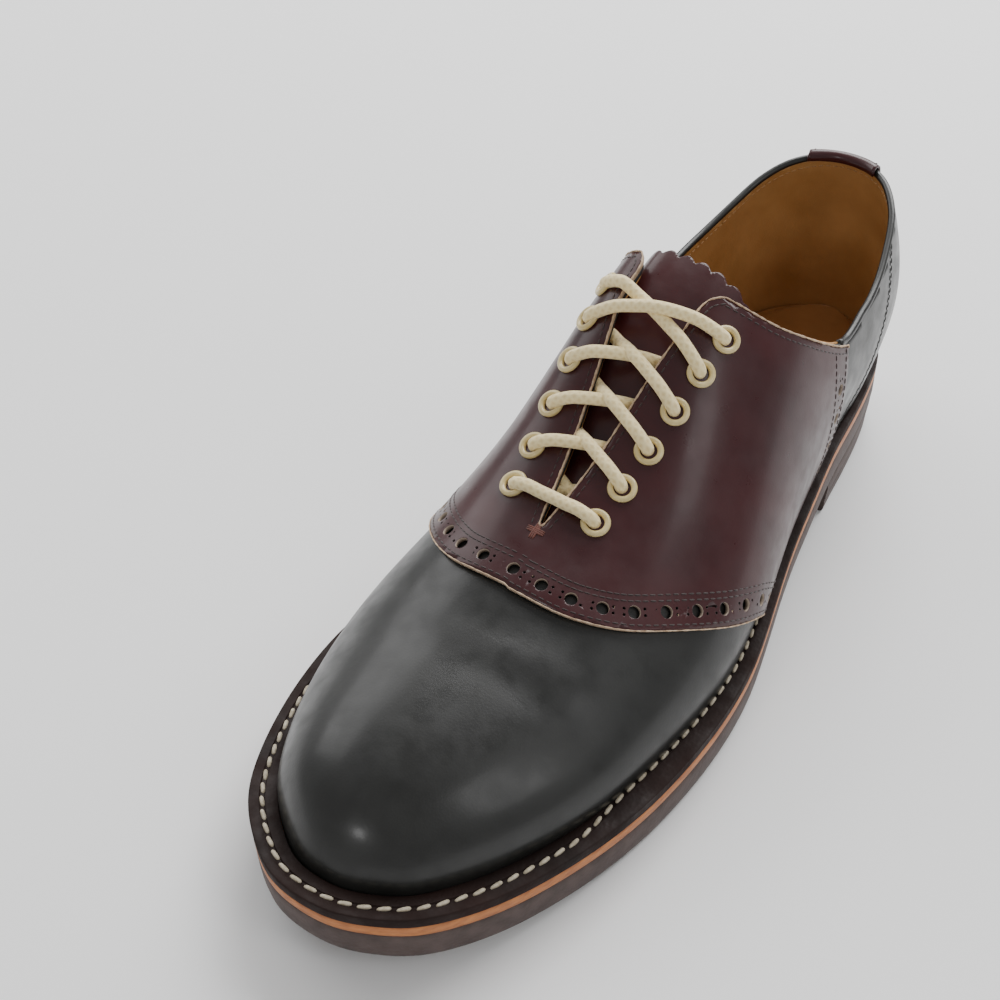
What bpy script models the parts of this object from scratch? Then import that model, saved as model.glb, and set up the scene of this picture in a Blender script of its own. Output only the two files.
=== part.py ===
"""Left saddle shoe: a hollow leather upper on a round-toed last, a saddle laid over it, a welted sole.

Frame: metres, +Z up, floor at z = 0, toe towards -Y, heel towards +Y, outer (lateral) side at +X.
A station is a distance from the back of the last towards the toe, as a share of LAST_LENGTH.
"""
import bpy
import bmesh
import math
import numpy as np
from mathutils import Vector
from mathutils.bvhtree import BVHTree

MM = 0.001

# Driving sizes of the last and of the leathers
LAST_LENGTH = 277.5 * MM
LAST_BALL = 86.4 * MM
INSTEP_HEIGHT = 74.0 * MM
UPPER_WALL = 2.0 * MM
SADDLE_WALL = 1.3 * MM
TAB_WALL = 1.2 * MM
TONGUE_WALL = 1.8 * MM
CLEARANCE = 0.3 * MM
SADDLE_EASE = 0.45 * MM

# The bottom: layers from the floor up, and how far the sole stands out past the upper
HEEL_BLOCK = 11.3 * MM
OUTSOLE = 9.2 * MM
MIDSOLE = 3.5 * MM
WELT = 3.0 * MM
WELT_EASE = 1.3 * MM
INSOLE = 3.0 * MM
INSOLE_INSET = 1.0 * MM
TOE_SPRING = 7.0 * MM
MARGIN_TOE = 7.5 * MM
MARGIN_WAIST = 4.2 * MM
MARGIN_HEEL = 2.0 * MM
HEEL_BREAST = 0.251
ARCH_END = 0.587
SPRING_START = 0.737

# Lacing
EYELETS = 6
EYELET_BORE = 2.4 * MM
EYELET_BARREL = 2.9 * MM
EYELET_FLANGE = 4.0 * MM
EYELET_SEAT = 0.5 * MM
EYELET_RISE = 1.3 * MM
EYELET_SIDES = 12
LACE_DIAMETER = 3.6 * MM
LACE_SIDES = 8
LACE_EASE = 1.1 * MM
LACE_SINK = 0.2 * MM
CROSS_REACH = 0.60

# Tongue and heel tab
TONGUE_EASE = 0.7 * MM
TONGUE_TOP = 0.369
TONGUE_FULL = 0.445
TONGUE_END = 0.690
TONGUE_CORNER = 8.0 * MM
TONGUE_TOP_WIDTH = 56.0 * MM
TONGUE_END_WIDTH = 30.0 * MM
TAB_WIDTH = 23.0 * MM
TAB_DROP = 20.0 * MM
TAB_ROUND = 8.0 * MM

# Where the sole's margin changes, and how far the welt stands back from the saddle, by station
HEEL_TO_WAIST = (0.152, 0.354)
WAIST_TO_BALL = (0.495, 0.778)
SADDLE_ZONE = 0.08
SADDLE_RAMP = 0.04

# The leathers are drawn SKIRT below the feather edge, then trimmed level by a block that reaches
# TRIM_PAST beyond the sole and TRIM_DEPTH below the floor
SKIRT = 1.5 * MM
TRIM_PAST = 3.0 * MM
TRIM_DEPTH = 10.0 * MM

# How finely the last is drawn: faces to a table row, and faces from the feather edge to the ridge
FORM_ROWS = 2
FORM_LEVELS = 8

# One row a section, from the toe tip to the back of the heel. Stations are shares of LAST_LENGTH, the
# sideways places shares of LAST_BALL, and the ridge's height over the feather edge a share of
# INSTEP_HEIGHT. Full is how square the section is, where 2 is an ellipse, and swell is how far the wall
# stands out past its feather edge, as a share of LAST_BALL.
COLUMNS = ("lat_at", "lat", "med_at", "med", "ridge_at", "ridge", "height",
           "lat_full", "med_full", "lat_swell", "med_swell")
SECTIONS = (
    (1.000, 0.014, 1.000, 0.014, 1.000, 0.014, 0.000, 2.00, 2.00, 0.000, 0.000),
    (0.997, 0.094, 0.997, -0.062, 0.996, 0.012, 0.075, 2.00, 2.00, 0.000, 0.000),
    (0.986, 0.168, 0.986, -0.132, 0.985, 0.010, 0.155, 2.05, 2.05, 0.001, 0.001),
    (0.969, 0.240, 0.970, -0.204, 0.968, 0.007, 0.235, 2.10, 2.10, 0.003, 0.003),
    (0.942, 0.303, 0.948, -0.275, 0.942, 0.004, 0.304, 2.15, 2.15, 0.008, 0.008),
    (0.910, 0.357, 0.916, -0.340, 0.911, 0.000, 0.354, 2.20, 2.15, 0.016, 0.012),
    (0.867, 0.410, 0.872, -0.404, 0.868, -0.006, 0.400, 2.20, 2.10, 0.028, 0.018),
    (0.804, 0.468, 0.810, -0.464, 0.807, -0.016, 0.445, 2.20, 2.10, 0.040, 0.024),
    (0.726, 0.512, 0.733, -0.490, 0.729, -0.032, 0.512, 2.20, 2.20, 0.040, 0.028),
    (0.639, 0.536, 0.649, -0.457, 0.644, -0.050, 0.604, 2.20, 2.45, 0.038, 0.036),
    (0.546, 0.515, 0.558, -0.393, 0.550, -0.070, 0.779, 2.20, 2.80, 0.038, 0.044),
    (0.447, 0.440, 0.459, -0.322, 0.453, -0.088, 0.996, 2.25, 3.10, 0.040, 0.054),
    (0.352, 0.380, 0.362, -0.302, 0.356, -0.082, 1.095, 2.50, 3.10, 0.042, 0.050),
    (0.256, 0.338, 0.266, -0.318, 0.260, -0.050, 1.140, 2.70, 3.00, 0.050, 0.044),
    (0.173, 0.314, 0.184, -0.326, 0.173, -0.030, 1.165, 2.70, 2.80, 0.056, 0.042),
    (0.096, 0.270, 0.105, -0.300, 0.094, -0.020, 1.175, 2.70, 2.60, 0.058, 0.040),
    (0.060, 0.234, 0.067, -0.272, 0.094, -0.020, 1.175, 2.70, 2.60, 0.056, 0.038),
    (0.030, 0.176, 0.035, -0.218, 0.094, -0.020, 1.175, 2.70, 2.60, 0.050, 0.036),
    (0.008, 0.090, 0.010, -0.128, 0.094, -0.020, 1.175, 2.65, 2.60, 0.042, 0.034),
    (0.000, -0.018, 0.000, -0.018, 0.094, -0.020, 1.175, 2.60, 2.60, 0.034, 0.034),
)
LAST_ROW = len(SECTIONS) - 1
HEEL_ROW = 15

# Lines seen from the side: station, and height over the floor as a share of INSTEP_HEIGHT
TOPLINE = {
    "lat": ((-0.068, 1.17), (0.010, 1.17), (0.080, 1.08), (0.157, 0.965), (0.222, 0.915), (0.274, 0.930),
            (0.345, 1.10), (0.386, 1.23), (0.423, 1.42)),
    "med": ((-0.068, 1.17), (0.010, 1.17), (0.080, 1.08), (0.157, 0.980), (0.222, 0.940), (0.274, 0.965),
            (0.341, 1.13), (0.378, 1.27), (0.413, 1.46)),
}
SADDLE_FRONT = {
    "lat": ((0.443, 0.05), (0.505, 0.26), (0.541, 0.38), (0.582, 0.47), (0.642, 0.58), (0.689, 0.65),
            (0.715, 0.70), (0.725, 0.75), (0.726, 0.90)),
    "med": ((0.453, 0.05), (0.516, 0.26), (0.551, 0.38), (0.592, 0.47), (0.645, 0.58), (0.689, 0.67),
            (0.715, 0.72), (0.725, 0.77), (0.726, 0.90)),
}
SADDLE_BACK = ((0.324, 0.05), (0.298, 0.343), (0.282, 0.64), (0.267, 0.924), (0.243, 1.25))

# The throat seen from above: station, and the two facings' edges as shares of LAST_BALL
THROAT = ((0.658, -0.004, -0.020), (0.587, 0.028, -0.060), (0.484, 0.068, -0.125), (0.448, 0.088, -0.152),
          (0.420, 0.100, -0.145), (0.401, 0.150, -0.168), (0.382, 0.215, -0.235), (0.364, 0.220, -0.300))

# The rows whose ridge the tongue's top and lower end are centred on
TONGUE_TOP_ROW = 12
TONGUE_END_ROW = 8.5

# The first and last eyelets seen from above: station, outer and inner place as shares of LAST_BALL
EYELET_FIRST = (0.630, 0.132, -0.168)
EYELET_LAST = (0.432, 0.200, -0.238)


def spline(values, flat_start=False, flat_end=False):
    """A smooth curve through values at 0, 1, 2 and so on; each end is free, or level where flat."""
    y = np.array(values, float)
    n = len(y) - 1
    a = np.zeros((n + 1, n + 1))
    b = np.zeros(n + 1)
    for i in range(1, n):
        a[i, i - 1:i + 2] = (1, 4, 1)
        b[i] = 6 * (y[i + 1] - 2 * y[i] + y[i - 1])
    a[0, 0] = 1
    a[n, n] = 1
    if flat_start:
        a[0, :2] = (2, 1)
        b[0] = 6 * (y[1] - y[0])
    if flat_end:
        a[n, n - 1:] = (1, 2)
        b[n] = -6 * (y[n] - y[n - 1])
    bend = np.linalg.solve(a, b)

    def at(u):
        i = min(int(u), n - 1)
        t = u - i
        r = 1 - t
        return r * y[i] + t * y[i + 1] + ((r ** 3 - r) * bend[i] + (t ** 3 - t) * bend[i + 1]) / 6
    return at


def section_line(name, rows, **ends):
    k = COLUMNS.index(name)
    return spline([row[k] for row in SECTIONS[:rows + 1]], **ends)


LINES = {
    "lat_at": section_line("lat_at", LAST_ROW, flat_start=True, flat_end=True),
    "lat": section_line("lat", LAST_ROW),
    "med_at": section_line("med_at", LAST_ROW, flat_start=True, flat_end=True),
    "med": section_line("med", LAST_ROW),
    "ridge_at": section_line("ridge_at", HEEL_ROW, flat_start=True),
    "ridge": section_line("ridge", HEEL_ROW, flat_start=True),
    "height": section_line("height", HEEL_ROW),
    "lat_full": section_line("lat_full", LAST_ROW),
    "med_full": section_line("med_full", LAST_ROW),
    "lat_swell": section_line("lat_swell", LAST_ROW),
    "med_swell": section_line("med_swell", LAST_ROW),
}


def smooth_step(x):
    x = min(max(x, 0.0), 1.0)
    return x * x * (3 - 2 * x)


def margin(station):
    """How far the sole stands out past the upper, from the heel through the waist to the toe."""
    waist = smooth_step((station - HEEL_TO_WAIST[0]) / (HEEL_TO_WAIST[1] - HEEL_TO_WAIST[0]))
    ball = smooth_step((station - WAIST_TO_BALL[0]) / (WAIST_TO_BALL[1] - WAIST_TO_BALL[0]))
    return MARGIN_HEEL + (MARGIN_WAIST - MARGIN_HEEL) * waist + (MARGIN_TOE - MARGIN_WAIST) * ball


def sole_margin(station):
    return UPPER_WALL + margin(station)


def sole_half(side, sign):
    """The furthest that the sole reaches out to one side of the last's own middle line."""
    rows = [i / FORM_ROWS for i in range(LAST_ROW * FORM_ROWS + 1)]
    return max(sign * LINES[side](u) * LAST_BALL + sole_margin(LINES[side + "_at"](u)) for u in rows)


# The sole's outline is centred on the frame's origin
BACK_Y = (LAST_LENGTH + MARGIN_TOE - MARGIN_HEEL) / 2
CENTRE_X = (sole_half("lat", 1) - sole_half("med", -1)) / 2


def world_x(share):
    return share * LAST_BALL - CENTRE_X


def world_y(station):
    return BACK_Y - station * LAST_LENGTH


def station_at(y):
    return (BACK_Y - y) / LAST_LENGTH


def tread(station):
    """The outsole's underside: flat at the forefoot, arched in the waist, sprung up at the toe."""
    spring = max(station - SPRING_START, 0.0) / (1.0 - SPRING_START)
    arch = smooth_step((ARCH_END - station) / (ARCH_END - HEEL_BREAST))
    return TOE_SPRING * spring ** 2 + HEEL_BLOCK * arch


def outsole_top(station):
    return tread(station) + OUTSOLE


def midsole_top(station):
    return outsole_top(station) + CLEARANCE + MIDSOLE


def feather(station):
    """Where the upper, the welt and the insole stand."""
    return midsole_top(station) + CLEARANCE


def edge_point(u, side):
    """The last's feather edge, seen from above."""
    return Vector((world_x(LINES[side](u)), world_y(LINES[side + "_at"](u))))


SWELL_TOP = 1 / (0.375 ** 1.5 * 0.625 ** 2.5)


def last_point(u, level, side):
    """A point of the last: u runs over the rows, level from the feather edge (0) to the ridge (1).

    The wall swells past its edge most at three eighths of its height, where SWELL_TOP makes it one.
    """
    top = min(u, HEEL_ROW)
    edge = edge_point(u, side)
    ridge = Vector((world_x(LINES["ridge"](top)), world_y(LINES["ridge_at"](top))))
    full = LINES[side + "_full"](u)
    angle = level * math.pi / 2
    c = max(math.cos(angle), 0.0)
    s = math.sin(angle)
    size = (c ** full + s ** full) ** (1 / full)
    c = c / size if level < 1 else 0.0
    s = s / size
    out = edge - ridge
    place = ridge + out * c
    if out.length > 1e-6:
        swell = LINES[side + "_swell"](u) * LAST_BALL
        place += out.normalized() * swell * SWELL_TOP * s ** 1.5 * max(1 - s, 0.0) ** 2.5
    foot = feather(LINES[side + "_at"](u))
    crown = feather(LINES["ridge_at"](top)) + LINES["height"](top) * INSTEP_HEIGHT
    return Vector((place.x, place.y, foot + (crown - foot) * s))


def wrap(along, around, place):
    """A net of along by around faces whose knots are put at place(i, j), with matching knots joined."""
    bm = bmesh.new()
    bmesh.ops.create_grid(bm, x_segments=along, y_segments=around, size=1)
    for v in bm.verts:
        i = round((v.co.x + 1) / 2 * along)
        j = round((v.co.y + 1) / 2 * around)
        v.co = place(i, j)
    bmesh.ops.remove_doubles(bm, verts=bm.verts, dist=0.01 * MM)
    bmesh.ops.recalc_face_normals(bm, faces=bm.faces)
    return bm


def last_net(offset):
    """The last's skin, moved out by offset: open underneath, closed at toe, heel and top.

    It reaches SKIRT below the feather edge, where the leathers are trimmed level afterwards.
    """
    def place(i, j):
        side = "lat" if j <= FORM_LEVELS else "med"
        level = min(j, 2 * FORM_LEVELS - j) / FORM_LEVELS
        point = last_point(i / FORM_ROWS, level, side)
        if level == 0:
            point.z -= SKIRT
        return point
    bm = wrap(LAST_ROW * FORM_ROWS, 2 * FORM_LEVELS, place)
    crown = max(bm.faces, key=lambda f: f.calc_center_median().z)
    if crown.normal.z < 0:
        bmesh.ops.reverse_faces(bm, faces=bm.faces)
    bm.normal_update()
    moves = [(v, v.normal * offset) for v in bm.verts]
    for v, move in moves:
        v.co += move
    return bm


for old in list(bpy.data.objects):
    bpy.data.objects.remove(old, do_unlink=True)
shoe = bpy.data.collections.new("saddle_shoe")
cutters = bpy.data.collections.new("cutters")
bpy.context.scene.collection.children.link(shoe)
bpy.context.scene.collection.children.link(cutters)


def material(name, colour, roughness, metallic=0.0):
    mat = bpy.data.materials.new(name)
    mat.use_nodes = True
    shader = mat.node_tree.nodes["Principled BSDF"]
    shader.inputs["Base Color"].default_value = (*colour, 1.0)
    shader.inputs["Roughness"].default_value = roughness
    shader.inputs["Metallic"].default_value = metallic
    return mat


BLACK_LEATHER = material("black_leather", (0.012, 0.012, 0.013), 0.30)
BURGUNDY_LEATHER = material("burgundy_leather", (0.060, 0.012, 0.014), 0.25)
TAN_LEATHER = material("tan_leather", (0.36, 0.17, 0.045), 0.45)
WELT_LEATHER = material("welt_leather", (0.035, 0.014, 0.010), 0.45)
MIDSOLE_LEATHER = material("midsole_leather", (0.45, 0.17, 0.06), 0.50)
SOLE_RUBBER = material("sole_rubber", (0.050, 0.026, 0.022), 0.60)
EYELET_ENAMEL = material("eyelet_enamel", (0.72, 0.62, 0.36), 0.35)
LACE_COTTON = material("lace_cotton", (0.70, 0.60, 0.42), 0.85)


def add(name, bm, mat=None, smooth=40.0):
    """A finished mesh as an object: a part where it has a material, a cutter where it has none."""
    mesh = bpy.data.meshes.new(name)
    bm.to_mesh(mesh)
    bm.free()
    obj = bpy.data.objects.new(name, mesh)
    if mat is None:
        cutters.objects.link(obj)
        obj.hide_render = True
        obj.display_type = "WIRE"
        return obj
    shoe.objects.link(obj)
    mesh.materials.append(mat)
    mesh.shade_smooth()
    mesh.set_sharp_from_angle(angle=math.radians(smooth))
    return obj


def boolean(obj, other, operation="DIFFERENCE"):
    mod = obj.modifiers.new(operation.lower() + "_" + other.name, "BOOLEAN")
    mod.operation = operation
    mod.object = other
    mod.solver = "EXACT"


def shell(name, inner, wall, mat):
    """A leather of the upper: the last's skin, inner outside it, with its own wall."""
    obj = add(name, last_net(inner), mat)
    mod = obj.modifiers.new("wall", "SOLIDIFY")
    mod.thickness = wall
    mod.offset = 1
    return obj


def prism(name, outline, place, move):
    """A cutter: a flat outline, whose points are put by place, drawn out along move."""
    bm = bmesh.new()
    face = bm.faces.new([bm.verts.new(place(*point)) for point in outline])
    grown = bmesh.ops.extrude_face_region(bm, geom=[face])
    bmesh.ops.translate(bm, vec=move, verts=[e for e in grown["geom"] if isinstance(e, bmesh.types.BMVert)])
    bmesh.ops.recalc_face_normals(bm, faces=bm.faces)
    return add(name, bm)


def through(points, steps=4):
    """Points along a smooth curve through the given ones."""
    lines = [spline([p[k] for p in points]) for k in range(len(points[0]))]
    count = (len(points) - 1) * steps
    return [tuple(line(i / steps) for line in lines) for i in range(count + 1)]


SIDE_REACH = 90 * MM
TALL = 1.9
LOW = 0.5
SIDES = {"lat": 1, "med": -1}


def side_cutter(name, points, side, far):
    """Cuts one half of the shoe from a line seen from the side up to TALL, and on to the station far."""
    corners = [(points[-1][0], TALL), (far, TALL), (far, points[0][1])]
    outline = through(points) + corners
    start = -0.02 * MM * SIDES[side]
    return prism(name, outline, lambda at, up: Vector((start, world_y(at), up * INSTEP_HEIGHT)),
                 Vector((SIDES[side] * SIDE_REACH, 0, 0)))


# The cuts that shape the leathers: topline, throat, and the saddle's two edges
BEYOND_HEEL = -0.10
BEYOND_TOE = 1.10
topline_cutters = [side_cutter("topline_" + side, TOPLINE[side], side, BEYOND_HEEL) for side in SIDES]
front_cutters = [side_cutter("front_" + side, SADDLE_FRONT[side], side, BEYOND_TOE) for side in SIDES]
back_cutters = [side_cutter("back_" + side, SADDLE_BACK, side, BEYOND_HEEL) for side in SIDES]


def above_cutter(name, outline):
    """A cutter whose outline is drawn in the view from above, as places in the frame."""
    return prism(name, outline, lambda x, y: Vector((x, y, LOW * INSTEP_HEIGHT)),
                 Vector((0, 0, TALL * INSTEP_HEIGHT)))


# The gap between the facings
throat_curve = through(THROAT, 3)
throat = above_cutter("throat", [(world_x(lat), world_y(at)) for at, lat, med in throat_curve]
                      + [(world_x(med), world_y(at)) for at, lat, med in reversed(throat_curve)])

# Eyelets are set out along the facings and stand square to the saddle's outer face
saddle_outside = UPPER_WALL + SADDLE_EASE + SADDLE_WALL
outside_net = last_net(saddle_outside)
outside = BVHTree.FromBMesh(outside_net)
outside_net.free()


def drop(x, y):
    """The saddle's outer face under a point seen from above, and its normal."""
    hit, normal, _, _ = outside.ray_cast(Vector((x, y, TALL * INSTEP_HEIGHT)), Vector((0, 0, -1)))
    return hit, normal


def eyelet_seat(number, side):
    share = number / (EYELETS - 1)
    at, lat, med = [a + (b - a) * share for a, b in zip(EYELET_FIRST, EYELET_LAST)]
    return drop(world_x(lat if side == "lat" else med), world_y(at))


seats = {side: [eyelet_seat(n, side) for n in range(EYELETS)] for side in SIDES}


def turned(profile, seat, sides):
    """A ring turned from (radius, height) points about the normal of its seat."""
    centre, normal = seat
    turn = normal.to_track_quat("Z", "Y")

    def place(i, j):
        radius, height = profile[j % len(profile)]
        angle = 2 * math.pi * (i % sides) / sides
        return centre + turn @ Vector((radius * math.cos(angle), radius * math.sin(angle), height))
    return wrap(sides, len(profile), place)


# An eyelet's barrel goes nine tenths of the way through both leathers; its flange is rounded on top
barrel_end = -0.9 * saddle_outside
eyelet_profile = ((EYELET_BORE, barrel_end), (EYELET_BARREL, barrel_end), (EYELET_BARREL, EYELET_SEAT),
                  (EYELET_FLANGE, EYELET_SEAT), (0.8 * EYELET_FLANGE, EYELET_RISE),
                  (EYELET_BORE, 0.6 * EYELET_RISE))
hole_radius = EYELET_BARREL + CLEARANCE
holes = bmesh.new()
for side in SIDES:
    for centre, normal in seats[side]:
        made = bmesh.ops.create_cone(holes, segments=EYELET_SIDES, radius1=hole_radius,
                                     radius2=hole_radius, depth=6 * saddle_outside, cap_ends=True)
        turn = normal.to_track_quat("Z", "Y").to_matrix().to_4x4()
        bmesh.ops.transform(holes, matrix=turn, verts=made["verts"])
        bmesh.ops.translate(holes, vec=centre, verts=made["verts"])
eyelet_holes = add("eyelet_holes", holes)
for side in SIDES:
    for n, seat in enumerate(seats[side]):
        add(f"eyelet_{side}_{n + 1}", turned(eyelet_profile, seat, EYELET_SIDES), EYELET_ENAMEL)


def loop_points():
    """The feather edge as one closed loop, with the way out of it at each knot."""
    rows = [i / FORM_ROWS for i in range(LAST_ROW * FORM_ROWS + 1)]
    loop = [(u, "lat") for u in rows] + [(u, "med") for u in rows[-2:0:-1]]
    points = [edge_point(u, side) for u, side in loop]
    outs = []
    for k in range(len(points)):
        ahead = points[(k + 1) % len(points)] - points[k - 1]
        outs.append(Vector((ahead.y, -ahead.x)).normalized())
    if outs[len(points) // 4].x < 0:
        outs = [-out for out in outs]
    return points, outs


edge_points, edge_outs = loop_points()
KNOTS = len(edge_points)
HALF_LOOP = KNOTS // 2


def edge_out(k, distance):
    """A knot of the feather edge moved out; distance is a length or a rule on the station."""
    point = edge_points[k % KNOTS]
    move = distance(station_at(point.y)) if callable(distance) else distance
    return point + edge_outs[k % KNOTS] * move


def plate(name, distance, low, high, mat, first=0):
    """A layer of the bottom: the feather edge moved out, between two heights that follow the station."""
    def place(i, j):
        knot = (first + i) if j % 4 in (0, 3) else KNOTS - first - i
        point = edge_out(knot, distance)
        level = high if j % 4 in (0, 1) else low
        return Vector((point.x, point.y, level(station_at(point.y))))
    bm = wrap(HALF_LOOP - first, 4, place)
    if first:
        bmesh.ops.holes_fill(bm, edges=bm.edges, sides=4)
        bmesh.ops.recalc_face_normals(bm, faces=bm.faces)
    return add(name, bm, mat)


# Trims the leathers level where they stand on the midsole
foot_cutter = plate("foot", lambda at: sole_margin(at) + TRIM_PAST, lambda at: -TRIM_DEPTH, feather, None)

# Upper: vamp and quarters as one hollow leather, open at the collar, the throat and underneath
upper = shell("upper", 0.0, UPPER_WALL, BLACK_LEATHER)
for cutter in topline_cutters + [foot_cutter, throat, eyelet_holes]:
    boolean(upper, cutter)

# Saddle: a second leather over the upper's middle, from the same last
saddle = shell("saddle", UPPER_WALL + SADDLE_EASE, SADDLE_WALL, BURGUNDY_LEATHER)
for cutter in topline_cutters + front_cutters + back_cutters + [foot_cutter, throat, eyelet_holes]:
    boolean(saddle, cutter)

# Heel tab: a short leather over the back seam, round at its foot
tab_top = TOPLINE["lat"][1][1] * INSTEP_HEIGHT
tab_half = TAB_WIDTH / 2
tab_middle = world_x(SECTIONS[LAST_ROW][1])
tab_outline = [(tab_middle + tab_half * math.cos(a), tab_top - TAB_DROP + TAB_ROUND * (1 - math.sin(a)))
               for a in [math.pi * k / 12 for k in range(13)]]
tab_outline += [(tab_middle - tab_half, TALL * INSTEP_HEIGHT), (tab_middle + tab_half, TALL * INSTEP_HEIGHT)]
heel_centre = LINES["ridge_at"](HEEL_ROW)
tab_region = prism("tab_region", tab_outline, lambda x, z: Vector((x, world_y(heel_centre), z)),
                   Vector((0, world_y(BEYOND_HEEL) - world_y(heel_centre), 0)))
tab = shell("heel_tab", UPPER_WALL + CLEARANCE, TAB_WALL, BURGUNDY_LEATHER)
boolean(tab, tab_region, "INTERSECT")
for cutter in topline_cutters:
    boolean(tab, cutter)

# Tongue: lies inside the facings and stands up past them, with its two top corners cut off
tongue = shell("tongue", -TONGUE_EASE - TONGUE_WALL, TONGUE_WALL, BURGUNDY_LEATHER)
top_middle = world_x(LINES["ridge"](TONGUE_TOP_ROW))
end_middle = world_x(LINES["ridge"](TONGUE_END_ROW))
top_y = world_y(TONGUE_TOP)
tongue_outline = []
for sign in (1, -1):
    half = [(end_middle + sign * TONGUE_END_WIDTH / 2, world_y(TONGUE_END)),
            (top_middle + sign * TONGUE_TOP_WIDTH / 2, world_y(TONGUE_FULL)),
            (top_middle + sign * TONGUE_TOP_WIDTH / 2, top_y - TONGUE_CORNER * 0.7),
            (top_middle + sign * (TONGUE_TOP_WIDTH / 2 - TONGUE_CORNER), top_y)]
    tongue_outline += half[::sign]
tongue_region = above_cutter("tongue_region", tongue_outline)
boolean(tongue, tongue_region, "INTERSECT")

# The bottom: outsole, midsole, heel block and insole, all from the same edge
breast = min(range(HALF_LOOP), key=lambda k: abs(station_at(edge_points[k].y) - HEEL_BREAST))
outsole = plate("outsole", sole_margin, tread, outsole_top, SOLE_RUBBER)
midsole = plate("midsole", sole_margin, lambda at: outsole_top(at) + CLEARANCE, midsole_top, MIDSOLE_LEATHER)
heel = plate("heel", sole_margin, lambda at: 0.0, lambda at: tread(at) - CLEARANCE, SOLE_RUBBER, breast)
insole = plate("insole", -INSOLE_INSET, feather, lambda at: feather(at) + INSOLE, TAN_LEATHER)


def welt_inside(station):
    """The welt clears the upper, and the saddle too where that runs down to it."""
    behind = SADDLE_BACK[0][0] - SADDLE_ZONE
    ahead = SADDLE_FRONT["med"][1][0] + SADDLE_ZONE
    zone = smooth_step((station - behind) / SADDLE_RAMP) * smooth_step((ahead - station) / SADDLE_RAMP)
    return UPPER_WALL + WELT_EASE + (2 * SADDLE_EASE + SADDLE_WALL) * zone


def welt_place(i, j):
    point = edge_out(i, sole_margin if j % 4 in (0, 3) else welt_inside)
    station = station_at(point.y)
    return Vector((point.x, point.y, feather(station) + (WELT if j % 4 in (0, 1) else 0.0)))


welt = add("welt", wrap(KNOTS, 4, welt_place), WELT_LEATHER)


def tube(points, radius):
    """A closed round cord through the points."""
    path = [Vector(p) for p in through(points, 3)]
    rings = []
    side = None
    for k, point in enumerate(path):
        ahead = (path[min(k + 1, len(path) - 1)] - path[max(k - 1, 0)]).normalized()
        side = ahead.orthogonal() if side is None else side - ahead * side.dot(ahead)
        side.normalize()
        up = ahead.cross(side)
        rings.append([point + (side * math.cos(a) + up * math.sin(a)) * radius
                      for a in [2 * math.pi * j / LACE_SIDES for j in range(LACE_SIDES)]])
    bm = wrap(len(path) - 1, LACE_SIDES, lambda i, j: rings[i][j % LACE_SIDES])
    bmesh.ops.holes_fill(bm, edges=bm.edges, sides=LACE_SIDES)
    bmesh.ops.recalc_face_normals(bm, faces=bm.faces)
    return bm


# Laces: one bar below, four crossings above it, each lying over the eyelets and the facings
LACE_LOW = LACE_DIAMETER / 2 - LACE_SINK
LACE_LIFT = EYELET_RISE + LACE_EASE + LACE_DIAMETER / 2


def over(seat, lift=LACE_LIFT):
    centre, normal = seat
    return centre + normal * lift


def between(a, b, share, lift):
    """A place over the gap between two eyelets, resting at the height of the facings."""
    middle = over(a, 0).lerp(over(b, 0), share)
    hit, normal = drop(middle.x, middle.y)
    return hit + normal * lift


def strand(a, b, reach):
    """The places that a lace passes from one eyelet towards another, as far as reach.

    It stands clear of the flanges at its ends and sinks a little where it bridges the throat.
    """
    places = [over(a)]
    for share in [reach * k / 4 for k in range(1, 5)]:
        sink = smooth_step((min(share, 1 - share) - 0.12) / 0.38)
        places.append(between(a, b, share, LACE_LIFT + (LACE_LOW - LACE_LIFT) * sink))
    if reach == 1:
        places[-1] = over(b)
    return places


def lace_piece(name, first, second=None):
    piece = add(name, tube(first, LACE_DIAMETER / 2), LACE_COTTON)
    if second:
        other = add(name + "_other", tube(second, LACE_DIAMETER / 2))
        boolean(piece, other, "UNION")


lat = seats["lat"]
med = seats["med"]
lace_piece("lace_bar_1", strand(med[0], lat[0], 1))
for n in range(1, EYELETS - 2):
    lace_piece(f"lace_cross_{n + 1}", strand(med[n], lat[n + 1], CROSS_REACH),
               strand(lat[n], med[n + 1], CROSS_REACH))
lace_piece("lace_cross_top", strand(med[-1], lat[-2], 1), strand(lat[-1], med[-2], 1))
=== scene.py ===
"""Left saddle shoe, dressed: leathers, seams, brogue holes, welt stitches, eyelets and a cotton lace.

Frame: metres, +Z up, floor at z = 0, toe towards -Y, heel towards +Y, outer (lateral) side at +X.
"""
import bpy
import bmesh
import math
import numpy as np
from functools import lru_cache
from mathutils import Matrix, Vector
from mathutils.bvhtree import BVHTree
from mathutils.kdtree import KDTree


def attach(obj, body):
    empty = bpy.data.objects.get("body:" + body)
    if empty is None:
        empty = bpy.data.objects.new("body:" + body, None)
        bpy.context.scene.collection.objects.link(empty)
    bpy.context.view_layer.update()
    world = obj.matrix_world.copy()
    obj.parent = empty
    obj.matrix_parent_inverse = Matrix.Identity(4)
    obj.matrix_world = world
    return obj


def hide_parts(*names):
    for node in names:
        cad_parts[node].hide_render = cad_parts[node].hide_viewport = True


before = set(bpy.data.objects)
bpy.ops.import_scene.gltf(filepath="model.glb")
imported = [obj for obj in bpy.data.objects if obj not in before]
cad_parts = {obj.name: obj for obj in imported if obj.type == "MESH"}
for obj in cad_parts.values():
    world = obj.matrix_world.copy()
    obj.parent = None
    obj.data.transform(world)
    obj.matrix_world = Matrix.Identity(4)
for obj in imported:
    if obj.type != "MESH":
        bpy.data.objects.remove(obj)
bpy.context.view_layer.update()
MM = 0.001

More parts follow.
